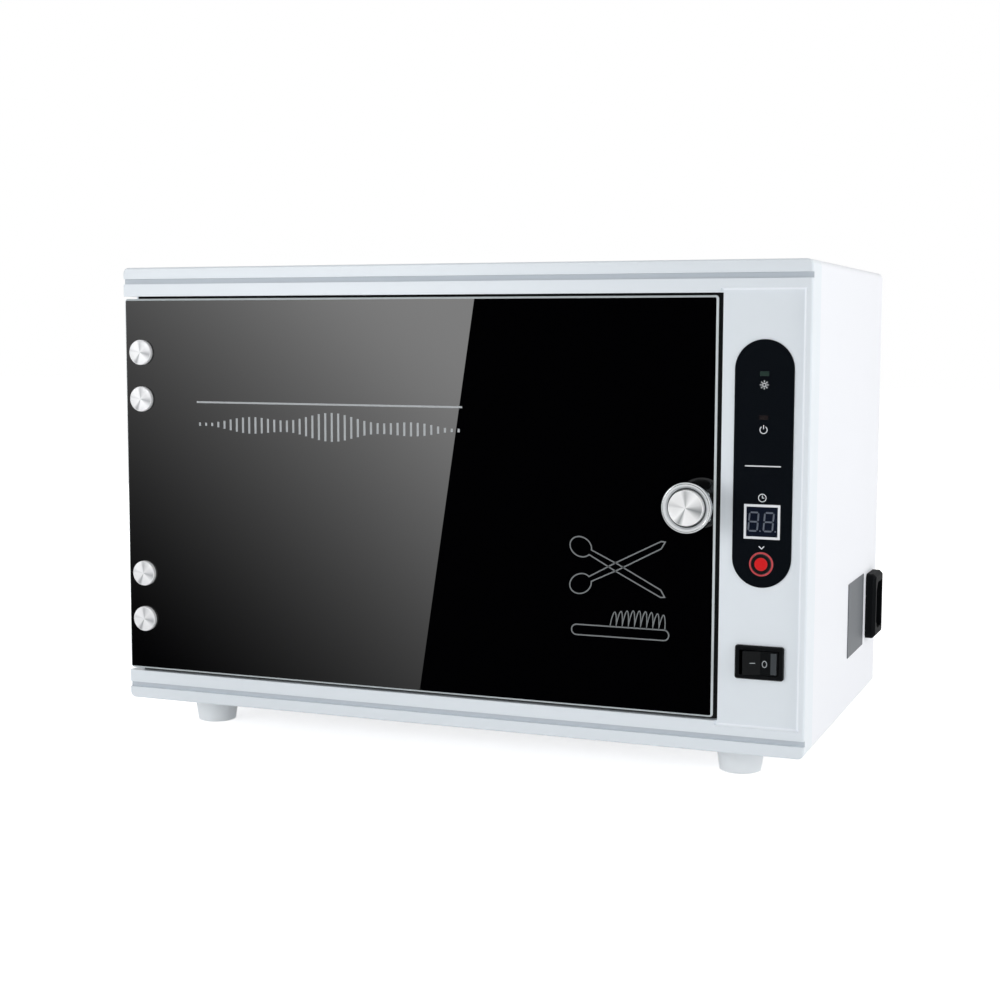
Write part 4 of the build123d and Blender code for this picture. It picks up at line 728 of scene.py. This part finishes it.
# %% [markdown]
# ## What the black glass sees
# A black door is lit by nothing but its reflections. In the photograph it shows a pale field that
# fades to the lower left and stops at a slanting edge, with plain black beyond. A studio makes
# that with a card beside the camera. The card here stands behind the camera, and only mirror rays
# see it. A point g on the glass sees the card at p = (1 + k) g - k c, where c is the camera and k
# the ratio of the two distances. The card keeps g as its UV map, so its brightness is drawn in the
# glass's own millimetres: v = 0.36 x + 0.43 z - 12 with a soft top at 126, right up to the
# slanting edge.

# %% The card
CARD_Y = -1400.0
CARD_X_SPAN, CARD_Z_SPAN = (-90.0, 440.0), (-70.0, 300.0)
FADE_X, FADE_Z, FADE_START = 0.36, 0.43, -12.0
FADE_TOP, FADE_SOFT = 126.0, 24.0
EDGE_LEAN, EDGE_X = 0.150, 161.5
CARD_GAIN = 24.0
k = (GLASS_FRONT - CARD_Y) / (GLASS_FRONT - CAMERA_MM[1])
seen = np.array([(x, z) for z in CARD_Z_SPAN for x in CARD_X_SPAN])
card_xz = (1 + k) * seen - k * CAMERA_MM[[0, 2]]
card_mesh = bpy.data.meshes.new("reflection_card")
card_mesh.from_pydata(place([(x, CARD_Y, z) for x, z in card_xz]), [], [(0, 1, 3, 2)])
card_uv = card_mesh.uv_layers.new(name="glass_mm")
card_uv.data.foreach_set("uv", seen[[0, 1, 3, 2]].astype(np.float32).ravel())
card = bpy.data.objects.new("reflection_card", card_mesh)
bpy.context.scene.collection.objects.link(card)

glow = bpy.data.materials.new("card light")
glow.use_nodes = True
for node in list(glow.node_tree.nodes):
    if node.type != "OUTPUT_MATERIAL":
        glow.node_tree.nodes.remove(node)
output = glow.node_tree.nodes["Material Output"]


def maths(operation, *values):
    """One arithmetic node: its inputs are numbers or other sockets."""
    return add(glow, "ShaderNodeMath", dict(enumerate(values)), operation=operation).outputs[0]


spot = add(glow, "ShaderNodeUVMap", uv_map="glass_mm")
part = add(glow, "ShaderNodeSeparateXYZ", {"Vector": spot.outputs["UV"]})
gx, gz = part.outputs["X"], part.outputs["Y"]
slopes = maths("ADD", maths("MULTIPLY", gx, FADE_X), maths("MULTIPLY", gz, FADE_Z))
ramp = maths("ADD", slopes, FADE_START)
value = maths("SMOOTH_MIN", ramp, FADE_TOP, FADE_SOFT)
value = maths("MAXIMUM", value, 0.0)
slant = maths("ADD", maths("MULTIPLY", gz, EDGE_LEAN), EDGE_X)
inside = maths("LESS_THAN", gx, slant)
screen = maths("ADD", maths("DIVIDE", value, 255.0), 0.055)
linear = maths("POWER", maths("DIVIDE", screen, 1.055), 2.4)
strength = maths("MULTIPLY", maths("MULTIPLY", linear, inside), CARD_GAIN)
emission = add(glow, "ShaderNodeEmission", {"Strength": strength})
glow.node_tree.links.new(emission.outputs[0], output.inputs["Surface"])
card_mesh.materials.append(glow)
for ray in ("camera", "diffuse", "transmission", "volume_scatter", "shadow"):
    setattr(card, "visible_" + ray, False)
print("card at y", CARD_Y, "mm, k =", round(k, 3))

# %% [markdown]
# ## Light
# The cabinet is white on white, so its form comes from small differences. An even white world
# lights it from all sides. A soft lamp at the right makes the side the brightest face, one at the
# left fades over the front towards the right, and a weak one near the floor lifts the bottom rail
# and the feet. A fourth stands behind at the left, so that the back is as light as the front seen
# from there.

# %% World and lamps
WORLD_FILL = 0.42  # what the world gives to matt surfaces
world = bpy.data.worlds.new("studio")
bpy.context.scene.world = world
world.use_nodes = True
tree = world.node_tree
background = tree.nodes["Background"]
background.inputs["Color"].default_value = colour("#FFFFFF")
path = tree.nodes.new("ShaderNodeLightPath")
direct = tree.nodes.new("ShaderNodeMath")
direct.operation = "MAXIMUM"
tree.links.new(path.outputs["Is Camera Ray"], direct.inputs[0])
tree.links.new(path.outputs["Is Glossy Ray"], direct.inputs[1])
through = tree.nodes.new("ShaderNodeMath")
through.operation = "MAXIMUM"
tree.links.new(direct.outputs[0], through.inputs[0])
tree.links.new(path.outputs["Is Transmission Ray"], through.inputs[1])
mix = tree.nodes.new("ShaderNodeMapRange")
mix.inputs["To Min"].default_value = WORLD_FILL
mix.inputs["To Max"].default_value = 1.0
tree.links.new(through.outputs[0], mix.inputs["Value"])
tree.links.new(mix.outputs["Result"], background.inputs["Strength"])


def lamp(name, spot_mm, aim_mm, size, watts):
    """A square area lamp at spot, turned so that its -Z looks at aim."""
    light = bpy.data.lights.new(name, "AREA")
    light.size, light.energy = size, watts
    made = bpy.data.objects.new(name, light)
    start, goal = Vector(place(spot_mm)), Vector(place(aim_mm))
    made.location = start
    made.rotation_mode = "QUATERNION"
    made.rotation_quaternion = (goal - start).to_track_quat("-Z", "Y")
    bpy.context.scene.collection.objects.link(made)
    return made


lamps = [lamp("side", (1300, -60, 330), (345, 60, 120), size=0.7, watts=5.0),
         lamp("left", (-650, -1150, 180), (60, 0, 110), size=0.9, watts=8.6),
         lamp("low", (240, -240, -8), (240, 0, 10), size=0.3, watts=0.20),
         lamp("rear", (-650, 1150, 500), (60, 150, 110), size=0.9, watts=9.0)]
for made in lamps:
    made.visible_glossy = False
print("lamps:", [(made.name, made.data.energy) for made in lamps])

# %% [markdown]
# ## Floor
# The photograph's ground is pure white. A plain floor under an even light would come out grey, so
# the camera sees a little extra glow from it, which lifts it to white and still leaves the soft
# shadow under the cabinet. Mirror rays miss the floor, because the glass shows the studio's dark
# below.

# %% Floor
floor_mesh = bpy.data.meshes.new("floor")
FLOOR_REACH, FLOOR_GLOW = 6.0, 0.62
floor_mesh.from_pydata([(-FLOOR_REACH, -FLOOR_REACH, 0), (FLOOR_REACH, -FLOOR_REACH, 0),
                        (FLOOR_REACH, FLOOR_REACH, 0), (-FLOOR_REACH, FLOOR_REACH, 0)],
                       [], [(0, 1, 2, 3)])
floor = bpy.data.objects.new("floor", floor_mesh)
bpy.context.scene.collection.objects.link(floor)
paper = material("white studio paper", "#FFFFFF", Roughness=0.9, Specular_IOR_Level=0.0)
shader = paper.node_tree.nodes["Principled BSDF"]
light_path = add(paper, "ShaderNodeLightPath")
boost = add(paper, "ShaderNodeMath", {0: light_path.outputs["Is Camera Ray"], 1: FLOOR_GLOW},
            operation="MULTIPLY")
shader.inputs["Emission Color"].default_value = colour("#FFFFFF")
feed(paper, "Emission Strength", boost.outputs[0])
floor_mesh.materials.append(paper)
floor.visible_glossy = False

# %% [markdown]
# ## View transform

# %% View transform
bpy.context.scene.view_settings.view_transform = "Standard"
